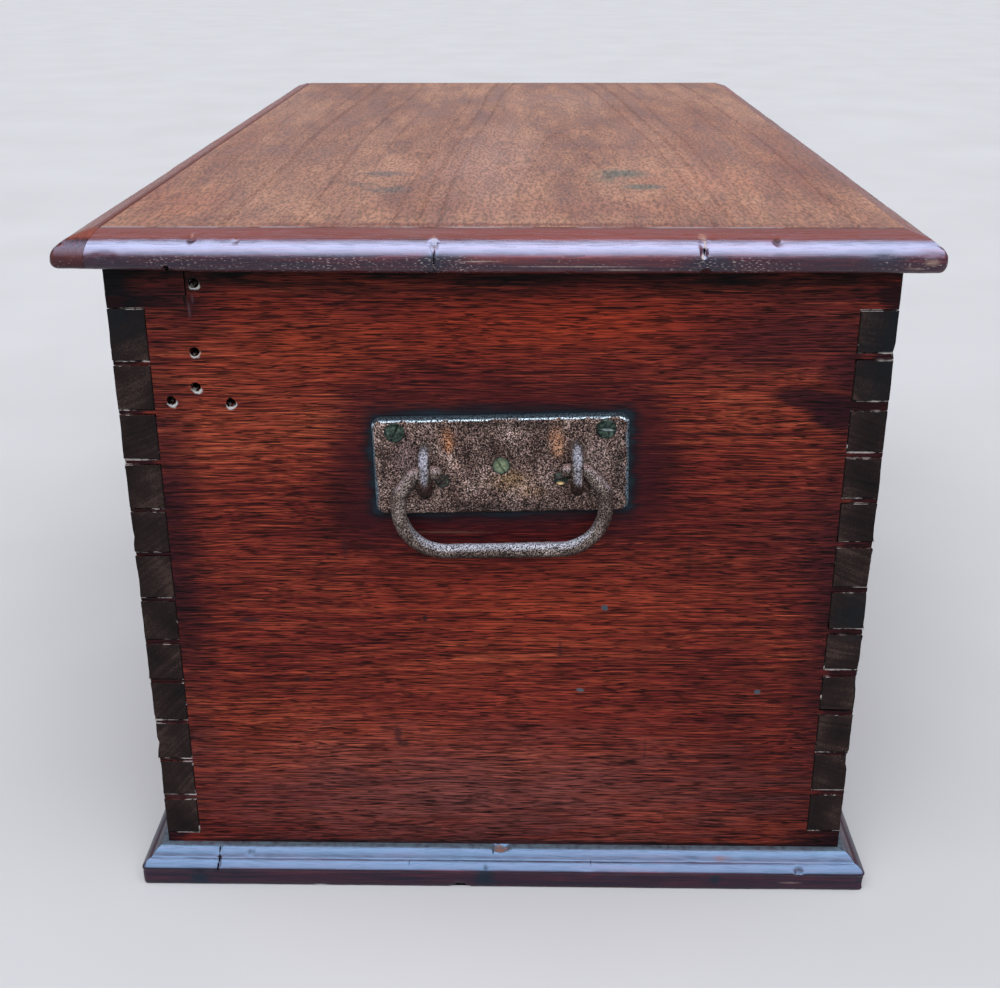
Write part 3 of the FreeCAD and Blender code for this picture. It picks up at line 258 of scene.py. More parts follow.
def vector_calc(tree, operation, *values):
    """A Vector Math node. A length or a dot product comes out as a number."""
    number = operation in ("LENGTH", "DOT_PRODUCT")
    return add(tree, "VectorMath", dict(enumerate(values)), out=int(number), operation=operation)


def axis_of(tree, value, axis):
    """A vector's "X", "Y" or "Z"."""
    return add(tree, "SeparateXYZ", {"Vector": value}, out="XYZ".index(axis))


def fade(tree, value, start, end, low=0.0, full=1.0, curve="LINEAR"):
    """A value's run from start to end as a run from low to full, held beyond both."""
    return add(tree, "MapRange", {"Value": value, "From Min": start, "From Max": end,
                                  "To Min": low, "To Max": full}, interpolation_type=curve)


def noise_node(tree, place, scale, detail=2.0, roughness=0.5):
    """Cloudy noise, scale lumps to a metre."""
    return add(tree, "TexNoise", {"Vector": place, "Scale": scale, "Detail": detail,
                                  "Roughness": roughness})


def mix(tree, share, under, over, blend="MIX"):
    """A share of one colour over another. Each is a socket or an sRGB hex colour."""
    under, over = (linear(c) if isinstance(c, str) else c for c in (under, over))
    return add(tree, "MixRGB", {"Fac": share, "Color1": under, "Color2": over},
               blend_type=blend)


def stain(tree, colour, place, ragged, centre, radii, hue, strength=1.0, soft=0.4, shares=None):
    """A stain, scrape or chip, and also the painted shade and painted glare that some rows
    give: a ragged oval of hue over colour, sizes in mm. Its strength
    from place to place is also put in the list shares, if one is given."""
    off = vector_calc(tree, "SUBTRACT", place, [c * MM for c in centre])
    off = vector_calc(tree, "MULTIPLY", off, [1 / (r * MM) for r in radii])
    far = vector_calc(tree, "LENGTH", off)
    far = calc(tree, "MULTIPLY_ADD", ragged, 1.1, far)
    share = fade(tree, far, 1.0 - soft, 1.0, strength, 0.0)
    if shares is not None:
        shares.append(share)
    return mix(tree, share, colour, hue)


def ramp_stops(shades):
    """The shades spread evenly along a ramp."""
    return [(i / (len(shades) - 1), shade) for i, shade in enumerate(shades)]


def outside_spot(tree, place, centre, radii):
    """0 within a spot (centre and radii in mm), 1 outside it."""
    away = vector_calc(tree, "SUBTRACT", place, [c * MM for c in centre])
    away = vector_calc(tree, "DIVIDE", away, [r * MM for r in radii])
    away = vector_calc(tree, "LENGTH", away)
    return fade(tree, away, 0.9, 1.1)


def rubbed_arrises(tree, colour, place, facing, dirt, pale, unrubbed):
    """Worn arrises: dirt in the joints, and pale broken lines where they are rubbed, but
    not in the unrubbed spots (centre, radii)."""
    split = add(tree, "SeparateXYZ", {"Vector": vector_calc(tree, "ABSOLUTE", facing)})
    biggest = calc(tree, "MAXIMUM", split, split.node.outputs[1])
    biggest = calc(tree, "MAXIMUM", biggest, split.node.outputs[2])
    slant = fade(tree, biggest, 0.93, 0.975, 1.0, 0.0)
    rub = noise_node(tree, place, 70.0, 4.0, 0.7)
    # level joints are rubbed paler than upright ones
    rub = calc(tree, "MULTIPLY_ADD", split.node.outputs[2], 0.16, rub)
    rub = fade(tree, rub, 0.60, 0.66)
    for spot in unrubbed:
        rub = calc(tree, "MULTIPLY", rub, outside_spot(tree, place, *spot))
    worn = mix(tree, rub, dirt, pale)
    return mix(tree, slant, colour, worn)


def waxed_gloss(tree, facing, sides, round_edge, top, scraped):
    """How strongly a moulding's wax reflects: on its sides, on the rounding that faces half
    up, and on the part that lies flat. It is dull where the wood is scraped."""
    upright = axis_of(tree, facing, "Z")
    gloss = fade(tree, upright, 0.28, 0.88, sides, round_edge, curve="SMOOTHSTEP")
    flat_top = fade(tree, upright, 0.76, 0.90, 1.0, top)
    gloss = calc(tree, "MULTIPLY", gloss, flat_top)
    for share in scraped:
        kept = calc(tree, "SUBTRACT", 1.0, share)
        gloss = calc(tree, "MULTIPLY", gloss, kept)
    return gloss


GRAIN_TURNS = {"X": (0, 0, 0), "Y": (0, 0, -math.pi / 2)}


def growth_rings(tree, along, drift, pith, lean, wander, ring):
    """Light and dark growth rings about ring mm apart, round a pith line that leans away
    from the grain and wanders."""
    drift = vector_calc(tree, "SUBTRACT", drift.node.outputs["Color"], (0.5, 0.5, 0.5))
    bent = vector_calc(tree, "MULTIPLY_ADD", drift, (0.0, wander, wander), along)
    bent = vector_calc(tree, "SUBTRACT", bent, pith)
    bent = add(tree, "Mapping", {"Vector": bent, "Rotation": (0, lean, 0)})
    radius = vector_calc(tree, "LENGTH", vector_calc(tree, "MULTIPLY", bent, (0.0, 1.0, 1.0)))
    return add(tree, "TexNoise", {"W": radius, "Scale": 1000.0 / ring, "Detail": 2.0},
               noise_dimensions="1D")


def end_grain(tree, place, speck, rings, shades):
    """Cut fibres seen end on: fine specks, soft clouds and the curves of the rings."""
    cloudy = noise_node(tree, place, 42.0, 3.0)
    tone = calc(tree, "MULTIPLY_ADD", speck, 0.55, cloudy)
    tone = calc(tree, "MULTIPLY_ADD", rings, 0.35, tone)
    tone = fade(tree, tone, 0.66, 1.2)
    return add(tree, "ValToRGB", {"Fac": tone}, stops=ramp_stops(shades))


def hardwood(name, grain, shades, end_shades, seed, bare=None, rough=0.42, gloss_level=0.25,
             tint="#ffffff", ior=1.5, pith=(0.0, 0.10, -0.28), lean=0.012, ring=3.2,
             wander=0.05, figure=0.2, cloud=1.0, streak=(9, 500), pore=(75, 1150),
             pore_depth=0.8, pore_cut=0.44, gather=0.1, line=(24, 1050), line_depth=0.5,
             marks=(), scrapes=(), edges=None, unrubbed=(), extra=None, bump=0.3):
    """Oiled and waxed tropical hardwood, planed by hand: straight grain, open pores that
    show as dark dashes along it, growth lines, and darker stained patches.

    streak, pore and line are how many there are to a metre along and across the grain, and
    cloud, figure and the depths say how strongly each shows. gloss_level is one value, or
    three for waxed_gloss. marks and scrapes are rows of stain's values from centre to soft,
    and extra is a function for what a single board or strip has besides.

    The growth rings run round a pith line outside the board, so a face shows them as long
    lines or nested arches, and the end grain as curves. A real pore is 0.2 mm wide; it is
    drawn near 0.7 mm wide so that it shows."""
    wood = bpy.data.materials.new(name)
    wood.use_nodes = True
    tree = wood.node_tree
    shader = tree.nodes["Principled BSDF"]
    place = add(tree, "TexCoord", out="Object")
    facing = place.node.outputs["Normal"]
    shift = random.Random(seed)
    along = add(tree, "Mapping", {"Vector": place, "Rotation": GRAIN_TURNS[grain]})
    away = tuple(shift.uniform(-9, 9) for _ in range(3))

    # the fibres sway a few millimetres to either side of a straight line
    sway = add(tree, "Mapping", {"Vector": along, "Location": away, "Scale": (9, 26, 26)})
    sway = add(tree, "TexNoise", {"Vector": sway, "Scale": 1.0, "Detail": 1.0}, out="Color")
    sway = vector_calc(tree, "SUBTRACT", sway, (0.5, 0.5, 0.5))
    swayed = vector_calc(tree, "MULTIPLY_ADD", sway, (0.0, 0.006, 0.006), along)

    def fibres(scale_along, scale_across, detail=2.0, roughness=0.55):
        spot = add(tree, "Mapping", {"Vector": swayed, "Location": away,
                                     "Scale": (scale_along, scale_across, scale_across)})
        return noise_node(tree, spot, 1.0, detail, roughness)

    streaks = fibres(*streak, detail=3.0)
    pores = fibres(*pore, detail=1.0)
    clouds = fibres(4, 17, detail=3.0)
    lines = fibres(*line, detail=1.0)
    rings = growth_rings(tree, along, fibres(2.2, 7, detail=1.0), pith, lean, wander, ring)

    # broad clouds, streaks and rings give the colour; fine lines and pores darken it
    tone = calc(tree, "MULTIPLY_ADD", clouds, cloud, streaks)
    tone = calc(tree, "ADD", tone, 0.5 - 0.5 * cloud)
    tone = calc(tree, "MULTIPLY_ADD", rings, figure, tone)
    tone = fade(tree, tone, 0.76 + figure * 0.34, 1.27 + figure * 0.66)
    long_grain = add(tree, "ValToRGB", {"Fac": tone}, stops=ramp_stops(shades))
    open_pores = calc(tree, "MULTIPLY_ADD", rings, gather, pores)
    limit = pore_cut + gather * 0.5
    dash = fade(tree, open_pores, limit - 0.04, limit + 0.02, pore_depth, 0.0)
    fine = fade(tree, lines, 0.38, 0.60, 1.0 - line_depth, 1.10)
    engraved = mix(tree, dash, "#ffffff", shades[0])
    engraved = vector_calc(tree, "MULTIPLY", engraved, fine)

    # end grain, on faces square to the grain
    speck = noise_node(tree, place, 900.0, 2.0)
    square = vector_calc(tree, "DOT_PRODUCT", facing, AXES[grain])
    square = fade(tree, calc(tree, "ABSOLUTE", square), 0.62, 0.8)
    colour = mix(tree, square, long_grain, end_grain(tree, place, speck, rings, end_shades))

    # stains, painted shadow and painted glare lie under the pores; scrapes go through them
    ragged = noise_node(tree, place, 260.0, 3.0)
    ragged = calc(tree, "SUBTRACT", ragged, 0.5)
    smoky = fade(tree, fibres(24, 150, detail=4.0), 0.0, 1.0, -0.55, 0.55)
    for mark in marks:
        colour = stain(tree, colour, place, smoky, *mark)
    engraved = mix(tree, square, engraved, "#ffffff")
    colour = vector_calc(tree, "MULTIPLY", colour, engraved)

    # bare wood on the inside, past limit along axis, where no finish was put on
    if bare:
        dry_shades, axis, limit, sign = bare
        dry = add(tree, "ValToRGB", {"Fac": tone}, stops=ramp_stops(dry_shades))
        dry = mix(tree, dash, dry, "#6a4a34", "MULTIPLY")
        spot = axis_of(tree, place, axis)
        deep = fade(tree, spot, (limit - sign * 0.05) * MM, (limit + sign * 0.05) * MM)
        colour = mix(tree, deep, colour, dry)
    scraped = []
    for mark in scrapes:
        colour = stain(tree, colour, place, ragged, *mark, shares=scraped)
    if extra:
        colour = extra(tree, colour, place, facing, ragged, smoky)
    if edges:
        colour = rubbed_arrises(tree, colour, place, facing, *edges, unrubbed)

    tree.links.new(colour, shader.inputs["Base Color"])
    shine = fade(tree, streaks, 0.3, 0.7, rough - 0.05, rough + 0.08)
    shine = calc(tree, "MULTIPLY_ADD", dash, 0.25, shine)
    tree.links.new(shine, shader.inputs["Roughness"])
    shader.inputs["IOR"].default_value = ior
    if isinstance(gloss_level, tuple):
        tree.links.new(waxed_gloss(tree, facing, *gloss_level, scraped),
                       shader.inputs["Specular IOR Level"])
    else:
        shader.inputs["Specular IOR Level"].default_value = gloss_level
    shader.inputs["Specular Tint"].default_value = linear(tint)
    height = calc(tree, "MULTIPLY_ADD", dash, -0.8, streaks)
    height = calc(tree, "MULTIPLY_ADD", speck, 0.5, height)
    tree.links.new(add(tree, "Bump", {"Height": height, "Strength": bump,
                                      "Distance": 0.35 * MM}), shader.inputs["Normal"])
    return wood


TAIL_ENDS = ("#060404", "#150c0b", "#211513", "#382b25")
BARE_WOOD = ("#7a543a", "#946a4a", "#ab805c")
WORN_EDGES = ("#0b0404", "#a39c96")
# the uppermost tails have gone blue black
TAIL_MARKS = [((END_FACE, y, z), (12, 32, tall), "#0c1216", 0.8, 0.8)
              for y, z, tall in ((-230, 392, 34), (232, 375, 60), (232, 200, 26))]
for side, seed in (("front", 21), ("back", 22)):
    board = whole_faces(f"{side}_board")
    saw_joints(board, -JOINT_GAP)
    stray_ends(board, seed)
    corner_cuts(board)
    piece = rounded(board, f"{side}_board_worn", upright_corner)
    wear_corners(piece, seed)
    inward = 1 if side == "front" else -1
    made_of(piece, hardwood(
        f"waxed hardwood, {side} board", "X",
        ("#2c0b0a", "#4c1613", "#6a281f", "#893b2a"), TAIL_ENDS, seed,
        gloss_level=0.12, bare=(BARE_WOOD, "Y", INSIDE[side] - 0.08 * inward, inward),
        marks=TAIL_MARKS, edges=WORN_EDGES))
    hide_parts(f"{side}_board")
    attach(piece, "case")


# ---------------------------------------------------------------------------
# End boards. One hardwood board each, its grain level, with thin pins between
# the tails. The right one has five old screw holes near its front top corner,
# dents, and a blue-black stain where the iron handle plate has bled into it.
# ---------------------------------------------------------------------------
HANDLE_MIDDLE = (END_FACE, 2.25, 301.0)
HANDLE_TILT = math.radians(1.4)
PLATE_SIZE = (152.4, 62.0)
ANY_DEPTH = 9.0                     # metres: a stain that is the same through the board
OLD_HOLES = ((-175.75, 369.5), (-176.75, 348.0), (-192.25, 339.5), (-157.25, 338.5),
             (-172.75, 410.0))
END_SHADES = ("#340a0e", "#5e1b17", "#823322", "#a04c32")


def iron_stain(tree, colour, place, facing, ragged, smoky):
    """Blue-green and black staining in the wood round an iron handle plate."""
    level = vector_calc(tree, "SUBTRACT", place, [c * MM for c in HANDLE_MIDDLE])
    level = add(tree, "Mapping", {"Vector": level, "Rotation": (-HANDLE_TILT, 0, 0)})
    level = vector_calc(tree, "ABSOLUTE", level)
    half_wide, half_tall = (size / 2 * MM - 3 * MM for size in PLATE_SIZE)
    level = vector_calc(tree, "SUBTRACT", level, (ANY_DEPTH, half_wide, half_tall))
    level = vector_calc(tree, "MAXIMUM", level, (0, 0, 0))
    far = vector_calc(tree, "LENGTH", level)
    far = calc(tree, "MULTIPLY_ADD", smoky, 0.011, far)
    for reach, hue, strength in ((0.034, "#2b0810", 0.60), (0.0115, "#0c0f15", 0.9),
                                 (0.0062, "#1d2d36", 0.6)):
        share = fade(tree, far, reach * 0.42, reach, strength, 0.0)
        colour = mix(tree, share, colour, hue)
    return colour


def hole_light_and_shade(tree, colour, place, facing, ragged, smoky):
    """Old screw holes: a painted highlight along the lower edge of each, and painted shade inside
    each hole.
    """
    colour = iron_stain(tree, colour, place, facing, ragged, smoky)
    for y, z in OLD_HOLES:
        # painted highlight along the lower edge of each hole
        colour = stain(tree, colour, place, ragged, (END_FACE, y + 0.4, z - 1.3),
                       (1.5, 3.5, 3.2), "#b6b9b4", 0.85, 0.3)
        # painted shade inside each hole
        colour = stain(tree, colour, place, ragged, (END_FACE, y, z + 0.25), (18.0, 3.2, 3.2),
                       "#050303", 1.0, 0.15)
    return colour


# (y, z), (half width, half height), colour, strength, softness of the stains and the painted
# shadow on the face
END_STAINS_AND_SHADOW = (
    ((200, 331), (20, 14), "#240812", 0.92, 0.4), ((184, 342), (26, 9), "#240812", 0.9, 0.4),
    ((206, 350), (20, 40), "#2a0a16", 0.7, 0.8), ((143, 320.1), (62, 1.2), "#1c0a10", 0.8, 0.6),
    ((95, 351.6), (26, 1.1), "#1c0a10", 0.7, 0.6), ((129, 359), (22, 1.1), "#1c0a10", 0.7, 0.6),
    ((163, 365.7), (20, 1.1), "#1c0a10", 0.7, 0.6), ((-60, 346), (50, 1.0), "#1c0a10", 0.6, 0.6),
    ((40, 372), (70, 1.0), "#1c0a10", 0.6, 0.6), ((-20, 196), (90, 1.0), "#1c0a10", 0.55, 0.6),
    ((110, 168), (60, 1.0), "#1c0a10", 0.55, 0.6), ((-110, 140), (50, 1.0), "#1c0a10", 0.55, 0.6),
    ((30, 84), (80, 1.0), "#1c0a10", 0.5, 0.6), ((-100, 226), (60, 1.0), "#1c0a10", 0.55, 0.6),
    ((-88, 300), (26, 44), "#280a14", 0.55, 0.9), ((94, 300), (26, 44), "#280a14", 0.55, 0.9),
    ((-236, 404), (56, 26), "#06060c", 1.0, 0.35), ((-150, 398), (60, 14), "#7a2414", 0.4, 0.8),
    # the thin near-black band 25 mm up is a painted shadow along the foot, above the skirting's
    # ledge
    ((0, 25.0), (300, 2.6), "#080405", 1.0, 0.5), ((222, 26), (44, 14), "#0a0606", 0.9, 0.7),
    ((-180, 400), (30, 22), "#2a0c10", 0.8, 0.8), ((40, 385), (160, 26), "#a83c20", 0.5, 0.9),
    ((205, 210), (26, 220), "#2c0a14", 0.8, 0.9), ((-221, 200), (19, 260), "#24060c", 0.95, 0.2),
    ((225, 200), (19, 260), "#24060c", 0.95, 0.2), ((-199, 240), (25, 210), "#2a0a14", 0.85, 0.9),
    ((0, 28), (240, 16), "#300a10", 0.6, 0.9), ((-92, 268), (42, 30), "#26060a", 0.6, 0.9),
    ((-110, 372), (75, 26), "#a84426", 0.45, 0.9), ((70, 392), (110, 16), "#98331c", 0.45, 0.9),
    ((20, 205), (140, 40), "#a03a22", 0.35, 0.9), ((120, 250), (80, 50), "#4c1212", 0.4, 0.9),
    ((-60, 60), (150, 26), "#4a1214", 0.35, 0.9), ((10, 130), (130, 34), "#93382a", 0.35, 0.9),
    ((170, 380), (90, 40), "#36101a", 0.75, 0.9), ((190, 250), (60, 60), "#3c1218", 0.5, 0.9),
    ((150, 120), (50, 80), "#3c0e14", 0.3, 0.9), ((180, 60), (70, 50), "#2a0c12", 0.5, 0.9),
    ((-20, 66), (240, 62), "#80504a", 0.45, 0.9))
# painted shade along the top of the end board, under the overhang of the lid's moulding
PAINTED_SHADE_UNDER_LID = (((0, 432), (900, 32), "#030101", 1.0, 0.6),)
END_SCRAPES = (
    ((67.0, 204.1), (2.6, 2.2), "#39484e", 0.9, 0.3),
    ((166.1, 144.2), (2.4, 1.8), "#3c4a50", 0.9, 0.3),
    ((-123.0, 151.4), (3.0, 2.2), "#2a1416", 0.9, 0.4),
    ((-65.7, 110.5), (3.4, 9.0), "#2a1517", 0.7, 0.6),
    ((-62.0, 103.5), (5.0, 2.6), "#241214", 0.7, 0.5),
    ((-156.6, 194.0), (7.5, 2.4), "#2e1519", 0.8, 0.5),
    ((-94.0, 246.5), (3.0, 12.0), "#2c1013", 0.6, 0.7),
    ((52.6, 144.7), (3.0, 1.6), "#46555a", 0.8, 0.3),
    ((39.3, 173.9), (1.6, 9.0), "#2a1416", 0.6, 0.6),
    ((-46.0, 196.0), (2.0, 2.4), "#1f1013", 0.8, 0.4),
    ((-178.9, 408.0), (1.2, 14.0), "#0c0405", 1.0, 0.4),
    ((-176.8, 395.0), (1.2, 6.0), "#5a4a50", 0.45, 0.7),
    ((-174.4, 401.0), (1.0, 4.0), "#5a484e", 0.45, 0.6),
    ((-175.4, 398.5), (3.4, 9.0), "#300c12", 0.5, 0.8),
    ((-30.0, 255.5), (34.0, 1.2), "#8c6a58", 0.35, 0.7),
    ((118.0, 240.0), (2.0, 22.0), "#241012", 0.35, 0.8),
    ((96.0, 100.0), (1.4, 16.0), "#2a1214", 0.4, 0.8))


def end_marks(rows, deep=30.0):
    """Rows for stain, and for painted shade, on the right end's face, reaching deep mm into the
    wood.
    """
    return [((END_FACE, *spot), (deep, *size), hue, strength, soft)
            for spot, size, hue, strength, soft in rows]


for side, sign, seed in (("right", 1, 31), ("left", -1, 32)):
    board = whole_faces(f"{side}_end_board")
    saw_joints(board, JOINT_GAP)
    corner_cuts(board)
    piece = rounded(board, f"{side}_end_board_worn", upright_corner)
    wear_corners(piece, seed)
    right = side == "right"
    made_of(piece, hardwood(
        f"waxed hardwood, {side} end", "Y", END_SHADES, ("#481410", "#64221a", "#7a3020"), seed,
        pith=(0.0, 0.06, -0.30), lean=0.02, ring=2.6, figure=0.3, cloud=0.7, streak=(18, 1250),
        pore=(80, 1900), pore_cut=0.45, pore_depth=0.85, line=(34, 1800), line_depth=0.66,
        gloss_level=0.1,
        bare=(BARE_WOOD, "X", sign * (SHOULDER + 0.08), -sign),
        # stains with a painted shadow line at the foot, and painted shade under the lid
        marks=end_marks(END_STAINS_AND_SHADOW) + end_marks(PAINTED_SHADE_UNDER_LID, 10.0) if right else (),
        scrapes=end_marks(END_SCRAPES, 3.0) if right else (),
        extra=hole_light_and_shade if right else None,
        edges=WORN_EDGES, unrubbed=[((END_FACE, -205, 403.4), (30, 34, 4.0))] if right else ()))
    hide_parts(f"{side}_end_board")
    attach(piece, "case")


# ---------------------------------------------------------------------------
# Corner patch. A small piece of the same hardwood let into the right end's
# front top corner, where the board once broke. Its grain is level too, with a
# dark crack across it and an open joint on its right.
# ---------------------------------------------------------------------------
board = whole_faces("corner_patch")
for point in board.verts:                       # leave an open joint round the patch
    if point.co.y > -180 * MM:
        point.co.y -= 0.4 * MM
for y in (-220.2, -212.0, -200.0, -190.0):
    score(board, "Y", y)
piece = rounded(board, "corner_patch_worn", upright_corner, small=0.2, step=3.0)
wear_corners(piece, 31)
made_of(piece, hardwood(
    "waxed hardwood, patch", "Y", END_SHADES, ("#0c0808", "#241a17"), 33, gloss_level=0.1,
    marks=end_marks((((-232, 410), (38, 34), "#05060c", 1.0, 0.5),
                     ((-190, 406), (30, 20), "#2a0c10", 0.8, 0.8),
                     # painted shade under the lid's moulding, along the top of the patch
                     ((-195, 424), (80, 16), "#050101", 1.0, 0.6))),
    scrapes=end_marks((((-205.0, 409.9), (12.0, 0.7), "#12080a", 0.7, 0.5),), 3.0),
    edges=("#0a0404", "#0e0708")))
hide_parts("corner_patch")
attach(piece, "case")


# ---------------------------------------------------------------------------
# Bottom boards. Three unfinished planks along the chest, nailed up into the
# case, with cut iron nails whose square-shouldered heads are set in from below.
# The skirting hides their edges.
# ---------------------------------------------------------------------------
UNFINISHED = dict(rough=0.62, gloss_level=0.3)
for number, plank in enumerate(("front", "middle", "back")):
    made_of(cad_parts[f"bottom_board_{plank}"], hardwood(
        f"sawn hardwood, {plank} plank", "X", ("#5c4432", "#7a5c42", "#92704f"),
        ("#4a3829", "#6a5038"), 41 + number, **UNFINISHED))


# ---------------------------------------------------------------------------
# Till. A small tray at the left end for candles and papers: a thin side board
# and a bottom, housed in grooves in the front and the back. Unfinished inside.
# ---------------------------------------------------------------------------
for name, seed in (("till_side", 51), ("till_bottom", 52)):
    board = whole_faces(name)
    piece = rounded(board, f"{name}_worn", lambda edge: False, small=0.8, large=1.5, step=40.0,
                    skip=20.0)
    made_of(piece, hardwood(
        f"sawn hardwood, {name.replace('_', ' ')}", "Y", ("#6c4c34", "#87623f", "#a37a52"),
        ("#4a3829", "#6a5038"), seed, edges=("#5a4030", "#a58a6c"), **UNFINISHED))
    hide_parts(name)
    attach(piece, "case")


# ---------------------------------------------------------------------------
# Skirting. Four moulded hardwood strips nailed round the foot of the case and
# mitred at the corners: a flat face, a round bead above it, and a slope up to a
# narrow ledge. Waxed to a shine, rubbed, cracked and stained black at the nails.
# ---------------------------------------------------------------------------
# (distance in from the outer face, height) down the outside, from the ledge
SKIRTING_PROFILE = ((16.0, 24.0), (14.6, 24.0), (13.2, 23.9), (12.2, 23.75), (11.4, 23.5),
                    (10.6, 23.0), (9.3, 22.1), (8.2, 21.0), (7.3, 19.8), (6.6, 18.7), (6.2, 18.2),
                    (5.6, 18.0), (4.7, 17.7), (3.4, 16.9), (2.0, 15.6), (0.9, 14.5), (0.3, 13.7),
                    (0.0, 12.9), (0.1, 12.3), (0.4, 11.9), (0.5, 10.5), (0.4, 7.5), (0.5, 4.0),
                    (0.6, 1.6), (1.2, 0.3), (2.4, 0.0), (9.0, 0.0), (16.0, 0.0))
TURN_STEPS = 6                      # facets round a corner


def moulded_ring(profile, outer, inner, corner_radius, steps, level):
    """A moulding's profile carried round a rectangle with rounded corners, as a closed band.
    Sizes are in mm, and outer and inner are (low x, low y, high x, high y). steps gives the
    stations of each side as shares of it, and level bends a height along the run."""
    band = bmesh.new()
    low_x, low_y, high_x, high_y = outer
    corners = ((high_x, low_y, 1, -1), (high_x, high_y, 1, 1),
               (low_x, high_y, -1, 1), (low_x, low_y, -1, -1))
    path = []                               # round a corner, then along the side after it
    for index in range(4):
        path += [("corner", index, k / TURN_STEPS) for k in range(TURN_STEPS + 1)]
        path += [("side", index, share) for share in steps[index]]

    def corner_point(index, share, inset):
        x, y, sx, sy = corners[index]
        radius = corner_radius[index]
        if inset >= radius:
            return x - sx * inset, y - sy * inset
        angle = math.radians(90 * (index - 1) + 90 * share)
        return (x - sx * radius + (radius - inset) * math.cos(angle),
                y - sy * radius + (radius - inset) * math.sin(angle))

    inner_corners = ((inner[2], inner[1]), (inner[2], inner[3]),
                     (inner[0], inner[3]), (inner[0], inner[1]))
    rows = []
    for kind, index, share in path:
        row = []
        for inset, height in profile:
            innermost = inset == profile[0][0]
            if kind == "corner":
                spot = inner_corners[index] if innermost else corner_point(index, share, inset)
            else:
                if innermost:
                    a, b = inner_corners[index], inner_corners[(index + 1) % 4]
                else:
                    a = corner_point(index, 1.0, inset)
                    b = corner_point((index + 1) % 4, 0.0, inset)
                spot = (a[0] + (b[0] - a[0]) * share, a[1] + (b[1] - a[1]) * share)
            row.append(band.verts.new((spot[0] * MM, spot[1] * MM, level(*spot, height) * MM)))
        rows.append(row)
    for row, after in zip(rows, rows[1:] + rows[:1]):
        for k in range(len(profile)):
            above = (k + 1) % len(profile)
            band.faces.new((row[k], after[k], after[above], row[above]))
    bmesh.ops.remove_doubles(band, verts=band.verts, dist=2e-6)
    bmesh.ops.recalc_face_normals(band, faces=band.faces)
    return band


def side_stations(length, pitch, fine_at=(), fine=0.9, reach=9.0):
    """Shares along a side where its stations lie, closer together round each worn spot."""
    places, at = [], pitch
    while at < length - pitch / 2:
        near = any(abs(at - spot) < reach for spot in fine_at)
        places.append(at / length)
        at += fine if near else pitch
        for spot in fine_at:
            if not near and at > spot - reach and at - pitch < spot - reach:
                at = spot - reach
    return places


def cut_strip(band, name, planes):
    """A strip of the band: cut off at each plane (point, normal away from the strip)."""
    strip = band.copy()
    for point, away in planes:
        bmesh.ops.bisect_plane(strip, geom=strip.verts[:] + strip.edges[:] + strip.faces[:],
                               plane_co=[c * MM for c in point], plane_no=away,
                               clear_outer=True)
        rim = [edge for edge in strip.edges if edge.is_boundary]
        if rim:
            bmesh.ops.holes_fill(strip, edges=rim, sides=0)
    bmesh.ops.recalc_face_normals(strip, faces=strip.faces)
    mesh = mesh_of(strip, name)
    mesh.shade_smooth()
    mesh.set_sharp_from_angle(angle=math.radians(38))
    return placed(name, mesh)


def weather(band, chips, seed, ripple, hold, box):
    """Unevenness of a hand-run moulding, and its chips: (centre, reach, depth) in mm.
    Points that hold picks stay put, and none goes outside box: (low corner, high corner)."""
    band.normal_update()
    moves = []
    for point in band.verts:
        x, y, z = point.co / MM
        if hold(x, y, z):
            continue
        spot = Vector((x / 45.0 + seed, y / 45.0, z / 30.0))
        push = ripple * noise.noise(spot) * 1.6 + ripple * 0.7 * noise.noise(spot * 7.0)
        for centre, reach, depth in chips:
            away = math.sqrt(sum(((p - c) / r) ** 2 for p, c, r in zip((x, y, z), centre, reach)))
            if away < 1.0:
                rough = 0.75 + 0.6 * noise.noise(Vector((x, y, z)) * 0.9)
                push -= depth * min(1.0, (1.0 - away) * 2.2) * rough
        moves.append((point, point.normal * push * MM))
    for point, move in moves:
        point.co += move
        point.co = [min(max(c, low * MM), high * MM) for c, low, high in zip(point.co, *box)]


SKIRTING_OUTER = (-417.0, -240.75, 417.0, 245.25)
SKIRTING_INNER = (-401.0, -224.75, 401.0, 229.25)
# (centre, reach, depth)
SKIRTING_CHIPS = (
    ((403.5, 1.5, 24.0), (5.0, 8.0, 4.5), 1.6), ((417.0, -25.8, 0.0), (5.0, 7.5, 2.6), 2.2),
    ((408.0, -167.6, 21.0), (3.0, 3.2, 3.0), 0.8), ((416.0, 201.0, 15.5), (4.0, 4.0, 3.0), 1.0),
    ((416.0, 60.0, 16.0), (4.0, 3.0, 2.4), 0.7), ((417.0, 150.0, 9.0), (4.0, 6.0, 4.0), 0.6),
    ((409.0, 130.0, 20.0), (4.0, 5.0, 3.0), 0.5), ((417.0, -120.0, 0.0), (4.0, 5.0, 2.0), 1.2),
    ((417.0, 245.0, 6.0), (7.0, 7.0, 8.0), 1.2), ((-60.0, -240.0, 15.0), (6.0, 4.0, 3.0), 1.2),
    ((230.0, -240.0, 2.0), (9.0, 4.0, 3.0), 1.6), ((-250.0, 245.0, 15.0), (7.0, 4.0, 4.0), 1.4))
NEAR_PITCH, FAR_PITCH = 3.0, 7.0    # between the stations of the right strip and the others
length, width = (high - low for low, high in zip(SKIRTING_OUTER[:2], SKIRTING_OUTER[2:]))
long_side, far_side = side_stations(length, FAR_PITCH), side_stations(width, FAR_PITCH)
near_side = side_stations(width, NEAR_PITCH, fine_at=(54.3, 73.2, 215.0, 242.3, 441.7))
band = moulded_ring(SKIRTING_PROFILE, SKIRTING_OUTER, SKIRTING_INNER, (3.5, 2.5, 4.0, 4.0),
                    (near_side, long_side, far_side, long_side), lambda x, y, height: height)
